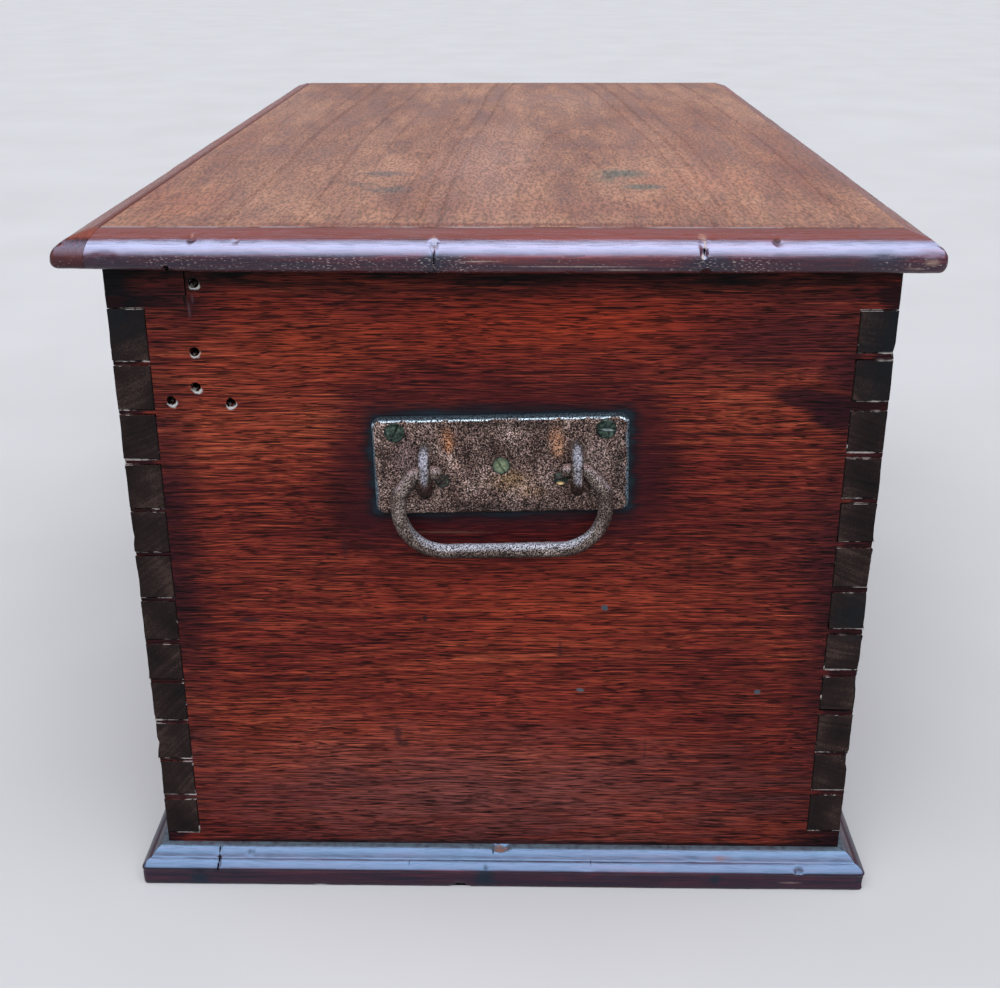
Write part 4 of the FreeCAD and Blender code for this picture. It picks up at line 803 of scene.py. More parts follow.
# the foot and the back, which lies against the boards, stay flat
weather(band, SKIRTING_CHIPS, 3.0, 0.14,
        lambda x, y, z: z < 0.2 or (abs(x) < 401.2 and -224.9 < y < 229.4),
        ((*SKIRTING_OUTER[:2], 0.0), (*SKIRTING_OUTER[2:], 24.0)))
# the crack through the right strip: pinched in along a crooked line
CRACK = -188.5
for point in band.verts:
    x, y, z = point.co / MM
    line = CRACK + 0.4 * math.sin(z / 2.2)
    if x > 402 and z > 11 and abs(y - line) < 0.75:
        point.co.x -= 0.5 * MM
        point.co.z -= 0.4 * MM

# (centre, half sizes, colour, strength, softness)
NAIL_STAIN = "#0c1016"
SKIRT_STAINS_AND_SHADOW = (
    ((417, -201.5, 5.5), (9, 9, 7.5), NAIL_STAIN, 0.95, 0.6),
    ((417, -8.9, 8.0), (9, 9, 9), NAIL_STAIN, 0.95, 0.6),
    ((417, 145.2, 8.2), (9, 5, 6), NAIL_STAIN, 0.9, 0.6),
    ((417, 80.0, 9.0), (7, 16, 6), "#2a1520", 0.6, 0.8),
    ((403, 222.0, 22.0), (8, 16, 6), "#2c2a28", 0.8, 0.6),
    # painted shadow in the crease where the ledge meets the case
    ((400.6, 0.0, 24.2), (1.6, 900, 1.5), "#060707", 1.0, 0.5))
SKIRT_SCRAPES = (
    ((405.0, 1.5, 23.4), (4.0, 5.2, 3.4), "#8a4c30", 0.95, 0.3),
    ((405.0, -3.6, 23.2), (4.6, 0.8, 3.4), "#120a0a", 0.95, 0.3),
    ((415.5, -188.7, 14.5), (3.4, 0.7, 3.6), "#0a0505", 1.0, 0.3),
    ((411.5, -188.3, 18.5), (3.6, 0.8, 3.4), "#0a0505", 1.0, 0.3),
    ((407.0, -188.5, 22.0), (3.2, 0.7, 2.6), "#0a0505", 1.0, 0.3),
    ((416.0, -8.6, 16.0), (3, 2.2, 3.4), "#141a24", 0.7, 0.8),
    ((416.0, -202.0, 12.0), (3, 8.0, 2.2), "#141a24", 0.7, 0.8),
    ((413.5, -60.0, 17.4), (3, 0.5, 2.2), "#1c2230", 0.7, 0.7),
    ((412.5, 62.0, 17.8), (3, 0.6, 2.6), "#20242e", 0.7, 0.7),
    ((408.0, -167.6, 21.0), (4, 2.4, 2.0), "#2a2c34", 0.5, 0.7),
    ((417, -25.8, 0.5), (6, 7, 2.4), "#050303", 1.0, 0.3),
    ((416.0, 201.0, 15.0), (5, 3.6, 2.4), "#2c2830", 0.6, 0.6),
    ((416.6, 196.0, 6.0), (4, 9, 1.2), "#7c6a64", 0.5, 0.6),
    ((411.0, 150.0, 20.5), (4, 8.0, 2.4), "#8a5a48", 0.5, 0.7))
STRIP_SHADES = ("#16040a", "#280810", "#3c0f16", "#56201e")


def ledge_dust(tree, colour, place, facing, ragged, smoky):
    """Grey-brown dust and old wax caked along the ledge, thinner down the slope."""
    level = fade(tree, axis_of(tree, facing, "Z"), 0.80, 0.97)
    high = fade(tree, axis_of(tree, place, "Z"), 21.0 * MM, 22.5 * MM)
    level = calc(tree, "MULTIPLY", level, high)
    caked = fade(tree, ragged, -0.2, 0.12, 0.3, 0.9)
    caked = calc(tree, "MULTIPLY", caked, level)
    return mix(tree, caked, colour, "#58656c")


left_x, front_y, right_x, back_y = SKIRTING_INNER
MITRE_GAP, OPEN_MITRE = 0.1, 0.35   # the mitre behind the right end has opened
cuts_of = {
    "right": [((right_x + MITRE_GAP, front_y, 0), (-1, -1, 0)),
              ((right_x + OPEN_MITRE, back_y, 0), (-1, 1, 0))],
    "left": [((left_x - MITRE_GAP, front_y, 0), (1, -1, 0)),
             ((left_x - MITRE_GAP, back_y, 0), (1, 1, 0))],
    "front": [((right_x - MITRE_GAP, front_y, 0), (1, 1, 0)),
              ((left_x + MITRE_GAP, front_y, 0), (-1, 1, 0))],
    "back": [((right_x - MITRE_GAP, back_y, 0), (1, -1, 0)),
             ((left_x + MITRE_GAP, back_y, 0), (-1, -1, 0))],
}
for number, (side, cuts) in enumerate(cuts_of.items()):
    piece = cut_strip(band, f"skirting_{side}_strip", cuts)
    made_of(piece, hardwood(
        f"polished hardwood, {side} skirting", "Y" if side in ("left", "right") else "X",
        STRIP_SHADES, ("#2a1a18", "#4a2c24"), 61 + number, rough=0.3, ior=2.0,
        gloss_level=(0.2, 1.0, 1.0) if side == "right" else (0.15, 0.5, 0.4), tint="#abd4ff",
        pore_depth=0.4, line_depth=0.2, extra=ledge_dust,
        marks=SKIRT_STAINS_AND_SHADOW if side == "right" else (),
        scrapes=SKIRT_SCRAPES if side == "right" else (), bump=0.25))
    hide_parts(f"skirting_{side}")
    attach(piece, "case")
band.free()


# ---------------------------------------------------------------------------
# Lid board. One wide flat-sawn hardwood board, so its growth lines show as nested
# arches and the pores as rows of dashes along them. Sun, wax and use have bleached
# the top to a brown pink, with grey-green smudges and dark open grain.
# ---------------------------------------------------------------------------
LID_TOP = 442.3
LID_SHADES = ("#7c4936", "#8d5b45", "#9f6d53", "#ae7d62")


def lid_dust(tree, colour, place, facing, ragged, smoky):
    """Pale dust packed against the board's edge, in the quirk beside the moulding."""
    upright = fade(tree, axis_of(tree, facing, "Z"), 0.3, 0.7, 1.0, 0.0)
    patchy = noise_node(tree, place, 34.0, 4.0)
    patchy = fade(tree, patchy, 0.48, 0.62, full=0.8)
    high = calc(tree, "GREATER_THAN", axis_of(tree, place, "Z"), 438.0 * MM)
    dusty = calc(tree, "MULTIPLY", upright, patchy)
    dusty = calc(tree, "MULTIPLY", dusty, high)
    return mix(tree, dusty, colour, "#a39c9e")


LID_STAINS_AND_GLARE = [((x, y, LID_TOP), (long, wide, 6), hue, strength, soft)
             for x, y, long, wide, hue, strength, soft in (
    (218, 84, 24, 22, "#4c5a50", 0.8, 0.7), (270, 93, 13, 19, "#4c5a50", 0.85, 0.6),
    (240, 69, 22, 13, "#525448", 0.6, 0.8), (220, -81, 15, 22, "#4c4846", 0.75, 0.7),
    (281, -71, 18, 18, "#4c4846", 0.7, 0.7), (262, -92, 12, 12, "#4c4846", 0.5, 0.8),
    (375, -150, 14, 40, "#7c4a40", 0.35, 0.8), (200, -40, 60, 90, "#a87464", 0.3, 0.9),
    (90, 60, 22, 150, "#7a4a40", 0.4, 0.8), (-120, -60, 40, 120, "#8a5a4c", 0.3, 0.9),
    (250, 140, 60, 60, "#b0684c", 0.4, 0.9), (-250, 60, 90, 130, "#8c6256", 0.4, 0.9),
    (330, -190, 80, 30, "#a85c40", 0.4, 0.9), (394, 0, 7, 225, "#6a2c24", 0.7, 0.8),
    (330, 20, 60, 40, "#a07050", 0.25, 0.9), (150, -150, 120, 60, "#7c4a3c", 0.35, 0.9),
    (100, 205, 280, 30, "#7c3c2c", 0.45, 0.9), (345, 60, 40, 170, "#8a4434", 0.3, 0.9),
    (300, -225, 80, 14, "#8a3a2a", 0.4, 0.9), (60, -208, 300, 26, "#7c3c2c", 0.4, 0.9),
    (60, 150, 360, 80, "#9a5c42", 0.3, 0.9), (40, -150, 360, 70, "#845848", 0.35, 0.9),
    # a painted pale glare across the middle of the lid
    (150, -10, 300, 45, "#bc9080", 0.3, 0.9))]
board = whole_faces("lid_board")
piece = rounded(board, "lid_board_worn", lambda edge: False, small=0.7, large=1.5, step=60.0,
                skip=30.0)
made_of(piece, hardwood(
    "waxed hardwood, lid", "X", LID_SHADES, ("#4a2a20", "#6a4030"), 71,
    pith=(0.50, 0.044, LID_TOP * MM), lean=0.077, ring=6.0, wander=0.024, figure=0.0,
    streak=(14, 60), pore=(300, 1100), pore_depth=0.28, pore_cut=0.27, gather=1.3,
    line=(150, 560), line_depth=0.42, rough=0.36, gloss_level=0.4,
    bare=(BARE_WOOD, "Z", 424.35, -1), marks=LID_STAINS_AND_GLARE, extra=lid_dust, bump=0.3))
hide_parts("lid_board")
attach(piece, "lid")


# ---------------------------------------------------------------------------
# Lid mouldings. Four hardwood strips nailed round the lid and butted at the corners:
# a quirk, a gentle slope, a rounded nose and a foot that hangs outside the case.
# Polished, but split and chipped at the nails, with blue-black stains below them.
# ---------------------------------------------------------------------------
LID_PROFILE = (
    (22.0, 440.2), (21.6, 440.2), (21.2, 441.2), (20.6, 441.7), (19.6, 441.6), (14.0, 439.8),
    (10.4, 438.6), (9.0, 438.15), (7.8, 437.5), (6.5, 436.7), (5.1, 435.7), (3.0, 434.0),
    (1.6, 432.3), (0.75, 430.9), (0.3, 429.7), (0.1, 428.7), (0.0, 427.2), (0.0, 425.6),
    (0.3, 424.2), (1.0, 422.7), (2.1, 421.4), (3.6, 420.5), (5.4, 420.3), (10.0, 420.3),
    (20.2, 420.3), (20.2, 423.6), (22.0, 423.6))
LID_OUTER = (-421.0, -247.25, 421.0, 247.25)
LID_INNER = (-399.0, -222.75, 399.0, 227.25)
FOOT, NOSE = 420.3, 426.0


def lid_level(x, y, height):
    """The strips' foot isn't straight: it hangs lowest near the middle of an end."""
    if height > NOSE:
        return height
    sag = 0.9 * math.cos((y - 20.0) / 240.0 * math.pi / 2) - 0.3 if abs(x) > 400 else 0.0
    rise = 1.6 * max(0.0, (-150.0 - y) / 97.0) if x > 400 else 0.0
    return height + (rise - sag) * (NOSE - height) / (NOSE - FOOT)


LID_CHIPS = (
    ((417.5, -34.4, 436.5), (6.5, 3.2, 5.5), 1.3), ((421.0, -34.4, 429.0), (5.0, 0.9, 11.0), 1.0),
    ((414.0, 114.2, 437.0), (8.0, 3.2, 4.0), 0.9), ((419.0, 113.8, 432.3), (5.0, 2.5, 3.6), 2.4),
    ((421.0, 115.7, 420.6), (6.0, 3.6, 3.0), 1.8), ((415.0, 154.2, 437.8), (6.0, 3.0, 3.0), 0.9),
    ((412.0, -168.9, 438.2), (6.0, 2.8, 3.2), 0.8), ((414.0, -143.9, 437.0), (4.0, 2.0, 2.0), 0.6),
    ((421.0, -182.7, 421.6), (5.0, 2.4, 3.6), 2.2), ((420.5, -216.5, 428.5), (5.0, 9.0, 4.5), 0.8),
    ((419.0, 238.0, 429.0), (6.0, 9.0, 5.0), 0.7), ((420.8, 213.0, 430.0), (4.0, 5.0, 4.0), 0.6),
    ((421.0, 40.0, 421.0), (4.0, 5.0, 1.6), 0.8), ((421.0, -80.0, 420.8), (4.0, 8.0, 1.6), 0.7),
    ((420.0, 20.0, 433.0), (4.0, 2.4, 2.0), 0.5), ((-421.0, 60.0, 430.0), (5.0, 5.0, 5.0), 1.5),
    ((150.0, -247.0, 430.0), (8.0, 5.0, 5.0), 1.6),
    ((-200.0, -247.0, 421.5), (8.0, 5.0, 4.0), 2.0), ((-90.0, 247.0, 424.0), (9.0, 5.0, 4.0), 1.8),
    ((280.0, 247.0, 432.0), (6.0, 5.0, 4.0), 1.3))
length, width = (high - low for low, high in zip(LID_OUTER[:2], LID_OUTER[2:]))
long_side, far_side = side_stations(length, FAR_PITCH), side_stations(width, FAR_PITCH)
near_side = side_stations(width, NEAR_PITCH,
                          fine_at=(30.7, 64.5, 78.3, 103.3, 212.8, 361.4, 401.4))
band = moulded_ring(LID_PROFILE, LID_OUTER, LID_INNER, (3.5, 3.0, 4.0, 4.0),
                    (near_side, long_side, far_side, long_side), lid_level)
# the back, which lies against the lid's board and the case, stays flat
weather(band, LID_CHIPS, 7.0, 0.17, lambda x, y, z: abs(x) < 400.6 and -224.4 < y < 228.4,
        ((*LID_OUTER[:2], 418.0), (*LID_OUTER[2:], 442.0)))

LID_STRIP_MARKS = (
    ((421, -34.8, 426.0), (9, 8, 8.5), NAIL_STAIN, 0.97, 0.55),
    ((421, -26.0, 429.0), (9, 14, 4.5), NAIL_STAIN, 0.8, 0.7),
    ((421, 116.0, 426.5), (9, 20, 7.5), NAIL_STAIN, 0.92, 0.6),
    ((421, 212.0, 429.0), (9, 15, 7.0), "#1a1d26", 0.8, 0.7),
    ((421, -110.0, 424.0), (9, 30, 5.0), "#2c2426", 0.6, 0.8),
    ((403, -44.0, 440.8), (14, 26, 6.0), "#4a4a44", 0.6, 0.7),
    ((421, 20.0, 423.0), (9, 190, 4.0), "#3a2224", 0.45, 0.8),
    ((401.0, 0, 441.8), (2.3, 900, 1.2), "#120808", 0.95, 0.6),
    ((421, 0, 424.0), (9, 900, 7.0), "#2a1618", 0.5, 0.7))
LID_STRIP_SCRAPES = (
    ((416.0, -34.4, 438.0), (9, 2.2, 2.6), "#a8a498", 0.8, 0.9),
    ((419.0, -34.3, 434.6), (6, 1.6, 1.6), "#6a5850", 0.8, 0.6),
    ((420.0, -32.0, 436.2), (6, 9.0, 0.5), "#120c0c", 0.9, 0.4),
    ((421.0, -34.2, 427.0), (6, 0.55, 8.0), "#0d0b0e", 0.85, 0.4),
    ((413.0, 113.4, 439.2), (9, 3.4, 1.6), "#b09c84", 0.9, 0.9),
    ((417.0, 114.6, 436.0), (9, 1.2, 3.6), "#b8a898", 0.85, 0.8),
    ((419.5, 114.2, 432.5), (6, 1.3, 2.4), "#080607", 1.0, 0.4),
    ((420.5, 113.2, 430.0), (6, 1.3, 2.0), "#b8a898", 0.8, 0.8),
    ((415.0, 154.2, 438.0), (7, 3.2, 2.4), "#2c1a18", 0.85, 0.4),
    ((412.0, -168.9, 439.4), (7, 1.3, 1.9), "#a89888", 0.85, 0.8),
    ((413.0, -170.6, 438.6), (7, 1.6, 0.7), "#120c0a", 0.9, 0.6),
    ((414.0, -143.9, 438.2), (7, 1.8, 0.9), "#3a2422", 0.8, 0.6),
    ((421.0, -182.7, 421.8), (5, 2.2, 3.2), "#050404", 1.0, 0.3),
    ((421.0, 238.0, 427.0), (5, 6.0, 2.6), "#b8a490", 0.35, 0.9),
    ((421.0, 230.0, 423.6), (5, 9.0, 0.8), "#b09888", 0.4, 0.9),
    ((421.0, 40.0, 424.6), (5, 40.0, 0.5), "#a89890", 0.5, 0.6),
    ((421.0, -10.0, 427.4), (5, 14.0, 0.45), "#a89890", 0.5, 0.6),
    ((421.0, 70.0, 422.6), (5, 16.0, 0.5), "#b0a090", 0.5, 0.6))
SKEW = (5.1, 22.0, 0)                # the front strip's right end was sawn out of square
cuts_of = {
    "front": [((0, -222.85, 0), (0, 1, 0)), ((399.0, -222.85, 0), SKEW)],
    "right": [((399.0, -222.65, 0), [-c for c in SKEW]), ((398.9, 0, 0), (-1, 0, 0))],
    "left": [((0, -222.65, 0), (0, -1, 0)), ((-398.9, 0, 0), (1, 0, 0))],
    "back": [((0, 227.1, 0), (0, -1, 0)), ((398.7, 0, 0), (1, 0, 0)),
             ((-398.7, 0, 0), (-1, 0, 0))],
}


def bleached(tree, colour, place, facing, ragged, smoky):
    """The slope above the nose is bleached like the lid; the nose and foot stay dark."""
    high = calc(tree, "MULTIPLY_ADD", smoky, 1.6 * MM, axis_of(tree, place, "Z"))
    high = fade(tree, high, 437.0 * MM, 438.6 * MM)
    paler = mix(tree, 0.5, colour, "#9c5440")
    colour = mix(tree, high, colour, paler)
    # the foot is scuffed down to pale wood in short broken lines
    scuffs = add(tree, "Mapping", {"Vector": place, "Scale": (480.0, 480.0, 1300.0)})
    scuffs = noise_node(tree, scuffs, 1.0, 2.5)
    where = noise_node(tree, place, 20.0, 2.0)
    scuffs = calc(tree, "MULTIPLY_ADD", where, 0.4, scuffs)
    scuffs = fade(tree, scuffs, 0.80, 0.90, full=0.55)
    low = fade(tree, axis_of(tree, place, "Z"), 428.5 * MM, 431.5 * MM, 1.0, 0.0)
    under = fade(tree, axis_of(tree, facing, "Z"), -0.9, -0.5)
    scuffs = calc(tree, "MULTIPLY", scuffs, low)
    scuffs = calc(tree, "MULTIPLY", scuffs, under)
    return mix(tree, scuffs, colour, "#b0a098")


for number, (side, cuts) in enumerate(cuts_of.items()):
    piece = cut_strip(band, f"lid_moulding_{side}_strip", cuts)
    made_of(piece, hardwood(
        f"polished hardwood, {side} lid moulding", "Y" if side in ("left", "right") else "X",
        ("#1e0406", "#360b0a", "#541712", "#702c1e"), ("#3c1e1c", "#5a302a"), 81 + number,
        rough=0.26, ior=2.5 if side == "right" else 1.7,
        gloss_level=(0.15, 1.0, 0.42) if side == "right" else (0.15, 0.7, 0.3), tint="#d4deff",
        pore_depth=0.45, line_depth=0.25, extra=bleached,
        marks=LID_STRIP_MARKS if side in ("right", "front") else (),
        scrapes=LID_STRIP_SCRAPES if side in ("right", "front") else (), bump=0.25))
    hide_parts(f"lid_moulding_{side}")
    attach(piece, "lid")
band.free()


# ---------------------------------------------------------------------------
# Nails, screws, hinges and lock. Cut iron nails hold the bottom and the mouldings.
# Two long strap hinges of wrought iron let the lid turn; the lock is an iron tray
# let into the front, with a bolt that takes the two loops of the lid's brass catch.
# ---------------------------------------------------------------------------
def old_metal(name, shades, seed, metallic, rough, crust=None, grit=1100.0, bump=0.5,
              extra=None, grain=(0.62, 1.3)):
    """Wrought iron or brass with age: pitted, brown where it has rusted, rubbed brighter on
    what stands out. The pits are 0.5 to 1 mm wide, drawn about that size."""
    metal = bpy.data.materials.new(name)
    metal.use_nodes = True
    tree = metal.node_tree
    shader = tree.nodes["Principled BSDF"]
    place = add(tree, "TexCoord", out="Object")
    facing = place.node.outputs["Normal"]
    shift = random.Random(seed)
    spot = add(tree, "Mapping", {"Vector": place,
                                 "Location": tuple(shift.uniform(-5, 5) for _ in range(3))})
    pits = noise_node(tree, spot, grit, 3.0, 0.8)
    patches = noise_node(tree, spot, 60.0, 4.0, 0.6)
    tone = calc(tree, "MULTIPLY", patches, 0.5)
    tone = calc(tree, "MULTIPLY_ADD", pits, 1.2, tone)
    tone = fade(tree, tone, 0.58, 1.14)
    colour = add(tree, "ValToRGB", {"Fac": tone}, stops=ramp_stops(shades))
    if crust:
        colour = mix(tree, fade(tree, patches, 0.52, 0.66), colour, crust, "OVERLAY")
    if extra:
        colour = extra(tree, colour, place, facing, pits, patches)
    gritty = fade(tree, pits, 0.45, 0.58, grain[0], grain[1])
    colour = vector_calc(tree, "MULTIPLY", colour, gritty)
    tree.links.new(colour, shader.inputs["Base Color"])
    shine = fade(tree, pits, 0.35, 0.65, rough + 0.18, rough - 0.12)
    tree.links.new(shine, shader.inputs["Roughness"])
    shader.inputs["Metallic"].default_value = metallic
    shader.inputs["Specular IOR Level"].default_value = 0.2     # rust is dull
    height = calc(tree, "MULTIPLY_ADD", patches, 0.6, pits)
    tree.links.new(add(tree, "Bump", {"Height": height, "Strength": bump,
                                      "Distance": 0.6 * MM}), shader.inputs["Normal"])
    return metal


IRON_SHADES = ("#1d1614", "#3c302c", "#6a5a55", "#8f827c")
nail_iron = old_metal("wrought iron, nails", ("#15100e", "#2c211d", "#46352d"), 91, 0.6, 0.6)
hinge_iron = old_metal("wrought iron, hinges", IRON_SHADES, 92, 0.75, 0.5, crust="#7a4a2c",
                       grit=800.0)
lock_iron = old_metal("wrought iron, lock", ("#1a1716", "#3a3532", "#5e5853", "#837b74"), 93,
                      0.8, 0.45, crust="#6e4a32", grit=900.0, bump=0.3)
screw_iron = old_metal("iron, screws", ("#1c1816", "#3a322e", "#5c534d"), 94, 0.75, 0.5)
lock_brass = old_metal("cast brass, lock", ("#4a3316", "#7d5a26", "#a37c3c", "#c09a58"), 95,
                       0.9, 0.4, crust="#5a4a30", grit=600.0, bump=0.2)
for names, metal in (
        (("bottom_nails", "skirting_nails", "lid_moulding_nails"), nail_iron),
        (("left_hinge_leaf", "right_hinge_leaf", "left_hinge_strap", "right_hinge_strap",
          "left_hinge_pin", "right_hinge_pin"), hinge_iron),
        (("lock_case", "lock_cover", "lock_bolt"), lock_iron),
        (("hinge_leaf_screws", "hinge_strap_screws", "lock_screws", "catch_screws"), screw_iron),
        (("lock_catch", "keyhole_escutcheon"), lock_brass)):
    for name in names:
        made_of(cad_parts[name], metal)


# ---------------------------------------------------------------------------
# Handle plates. Each end has a forged iron plate, 4.5 mm thick with its arris
# filed off, held by five screws. Its face is rusted and pitted, with fresh orange
# rust above the bar's ends.
# ---------------------------------------------------------------------------
PLATE_THICK = 4.5
PLATE_CORNER = 6.0
PLATE_ARRIS = 2.8
LONG_STEPS, SHORT_STEPS = 40, 12    # parts of a long and of a short edge, for the wear
FACE_PITCH = 1.7                    # of the grid on the face
SEAT_GAP = 0.25                     # round a screw's head
# (across, up, head width, turn of the slot in degrees), from the plate's middle
SCREW_SPOTS = ((-62.5, 22.0, 11.8, 62.0), (62.5, 22.0, 11.8, 4.0), (0.0, 0.0, 10.4, -62.0),
               (-35.5, -9.0, 8.2, 40.0), (35.5, -9.0, 8.2, 10.0))


def handle_matrix(sign):
    """From a handle's own axes (out, across, up; the plate's middle) to the chest's."""
    turn = Matrix.Rotation(0.0 if sign > 0 else math.pi, 4, "Z") @ Matrix.Rotation(
        HANDLE_TILT, 4, "X")
    x, y, z = HANDLE_MIDDLE
    return Matrix.Translation((sign * x * MM, y * MM, z * MM)) @ turn


def plate_outline(inset):
    """Points round the plate's rounded rectangle, inset all round."""
    half_wide, half_tall = PLATE_SIZE[0] / 2 - inset, PLATE_SIZE[1] / 2 - inset
    radius = max(PLATE_CORNER - inset, 0.6)
    corners = ((1, 1), (-1, 1), (-1, -1), (1, -1))
    points = []
    for number, (sy, sz) in enumerate(corners):
        for k in range(TURN_STEPS + 1):
            angle = math.radians(90 * number + 90 * k / TURN_STEPS)
            points.append((sy * (half_wide - radius) + radius * math.cos(angle),
                           sz * (half_tall - radius) + radius * math.sin(angle)))
        next_y, next_z = corners[(number + 1) % 4]
        last = points[-1]
        if sy != next_y:
            steps, target = LONG_STEPS, (next_y * (half_wide - radius), last[1])
        else:
            steps, target = SHORT_STEPS, (last[0], next_z * (half_tall - radius))
        for k in range(1, steps):
            points.append((last[0] + (target[0] - last[0]) * k / steps,
                           last[1] + (target[1] - last[1]) * k / steps))
    return points


def drilled(plate, sign):
    """The plate with a round seat sunk for each screw's head."""
    drill = bmesh.new()
    for y, z, head, _ in SCREW_SPOTS:
        spot = handle_matrix(sign) @ Matrix.Translation((4.0 * MM, y * MM, z * MM))
        spot = spot @ Matrix.Rotation(math.pi / 2, 4, "Y")
        radius = (head / 2 + SEAT_GAP) * MM
        bmesh.ops.create_cone(drill, cap_ends=True, segments=32, radius1=radius,
                              radius2=radius, depth=5.0 * MM, matrix=spot)
    cutter = placed("seats", mesh_of(drill, "seats"))
    seats = plate.modifiers.new("seats", "BOOLEAN")
    seats.operation = "DIFFERENCE"
    seats.object = cutter
    seats.solver = "EXACT"
    plate.data = solved_mesh(plate)
    plate.modifiers.clear()
    bpy.data.objects.remove(cutter)
    plate.data.shade_smooth()
    plate.data.set_sharp_from_angle(angle=math.radians(32))
    return plate


def forged_plate(name, sign, seed):
    """The plate: rings of points from the back edge to the front face, then a grid over
    the face, which is dented as the hammer left it."""
    plate = bmesh.new()
    rings = []
    for inset, out in ((0.3, 0.0), (0.0, 0.3), (0.0, PLATE_THICK - 2.2),
                       (0.5, PLATE_THICK - 1.1), (1.3, PLATE_THICK - 0.35),
                       (PLATE_ARRIS, PLATE_THICK - 0.03), (PLATE_ARRIS + 0.7, PLATE_THICK)):
        rings.append([plate.verts.new((out, y, z)) for y, z in plate_outline(inset)])
    for ring, after in zip(rings, rings[1:]):
        for k in range(len(ring)):
            plate.faces.new((ring[k - 1], ring[k], after[k], after[k - 1]))
    plate.faces.new(rings[0])
    plate.faces.new(rings[-1])
    bmesh.ops.recalc_face_normals(plate, faces=plate.faces)
    for axis, limit in (("Y", PLATE_SIZE[0] / 2), ("Z", PLATE_SIZE[1] / 2)):
        at = -limit + 2.0
        while at < limit - 1.0:
            near = [f for f in plate.faces if f.calc_center_median().x > PLATE_THICK - 0.01]
            geometry = set(near)
            for face in near:
                geometry.update(face.verts)
                geometry.update(face.edges)
            bmesh.ops.bisect_plane(plate, geom=list(geometry), plane_no=AXES[axis],
                                   plane_co=[c * at for c in AXES[axis]])
            at += FACE_PITCH
    plate.normal_update()
    for point in plate.verts:
        if point.co.x > 0.4:
            spot = Vector((seed, point.co.y, point.co.z))
            dent = 0.22 * noise.noise(spot / 17.0) + 0.13 * noise.noise(spot / 2.6)
            point.co.x += dent - 0.12
            edge = max(abs(point.co.y) - PLATE_SIZE[0] / 2, abs(point.co.z) - PLATE_SIZE[1] / 2)
            if edge > -1.0:
                point.co.y -= math.copysign(0.25 * abs(noise.noise(spot / 6.0)), point.co.y)
                point.co.z -= math.copysign(0.25 * abs(noise.noise(spot / 6.0)), point.co.z)
    for point in plate.verts:
        point.co *= MM
    mesh = mesh_of(plate, name)
    mesh.transform(handle_matrix(sign))
    return drilled(placed(name, mesh), sign)


def handle_stains(tree, colour, place, ragged, rows, soft):
    """Stains of the rows (across, up, half width, half height, hue, strength) on both
    handles, measured from the middle of the plate."""
    x, y, z = HANDLE_MIDDLE
    for across, up, wide, tall, hue, strength in rows:
        for sign in (1, -1):
            centre = (sign * x, y + across * sign, z + up + across * math.tan(HANDLE_TILT))
            colour = stain(tree, colour, place, ragged, centre, (12, wide, tall), hue,
                           strength, soft)
    return colour


RUST_PATCHES = (
    (-56, 4, 13, 20, "#7d6a68", 0.45), (56, 2, 13, 20, "#80706c", 0.5),
    (-32, 17, 6, 13, "#94603e", 0.6), (33, 16, 7, 14, "#9a6a4a", 0.6),
    (-31, 12, 3, 7, "#b88058", 0.6), (34, 10, 5, 7, "#b08262", 0.5),
    (4, -9, 20, 9, "#85683c", 0.45), (14, -16, 16, 6, "#7d6038", 0.4),
    (-27, 1, 4, 4, "#c8a492", 0.5), (-70.5, 0, 3, 26, "#0c0a0a", 0.7),
    (70, -4, 5, 24, "#161a18", 0.7), (0, 26, 70, 2.2, "#080606", 0.85),
    (0, -26, 72, 5, "#14100e", 0.7), (0, 10, 34, 13, "#22140f", 0.65),
    (0, 24, 60, 6, "#1c120e", 0.5))


def plate_rust_and_arris_light(tree, colour, place, facing, pits, patches):
    """Fresh orange rust above each end of the bar, pink-brown in the middle, black edges, and
    painted light and shade on the filed arris.
    """
    ragged = calc(tree, "SUBTRACT", patches, 0.5)
    gritty = calc(tree, "SUBTRACT", pits, 0.5)
    gritty = calc(tree, "MULTIPLY_ADD", ragged, 0.8, gritty)
    colour = handle_stains(tree, colour, place, gritty, RUST_PATCHES, 0.75)
    # painted light and shade on the filed arris, set by the way it faces: a painted blue-grey
    # reflection on the sides, a painted highlight along the top with a painted shade line on
    # its steeper outer part, and painted black shade on the arris below
    aside = calc(tree, "ABSOLUTE", axis_of(tree, facing, "Y"))
    upright = axis_of(tree, facing, "Z")
    for turned, start, end, hue, strength in (
            (aside, 0.15, 0.5, "#4c616c", 0.8), (upright, 0.16, 0.26, "#b4c8d2", 0.8),
            (upright, 0.34, 0.5, "#1c282e", 0.95), (upright, -0.2, -0.5, "#0a0808", 0.9)):
        share = fade(tree, turned, start, end, full=strength)
        colour = mix(tree, share, colour, hue)
    return colour


PLATE_SHADES = ("#080504", "#231713", "#46352f", "#705e56", "#a5948b")
plate_iron = old_metal("forged iron, handle plate", PLATE_SHADES, 101, 0.4, 0.46,
                       grit=1150.0, bump=1.0, extra=plate_rust_and_arris_light, grain=(0.0, 2.9))
for side, sign in (("right", 1), ("left", -1)):
    piece = forged_plate(f"{side}_handle_plate_forged", sign, 5.0 + sign)
    made_of(piece, plate_iron)
    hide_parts(f"{side}_handle_plate")
    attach(piece, "case")


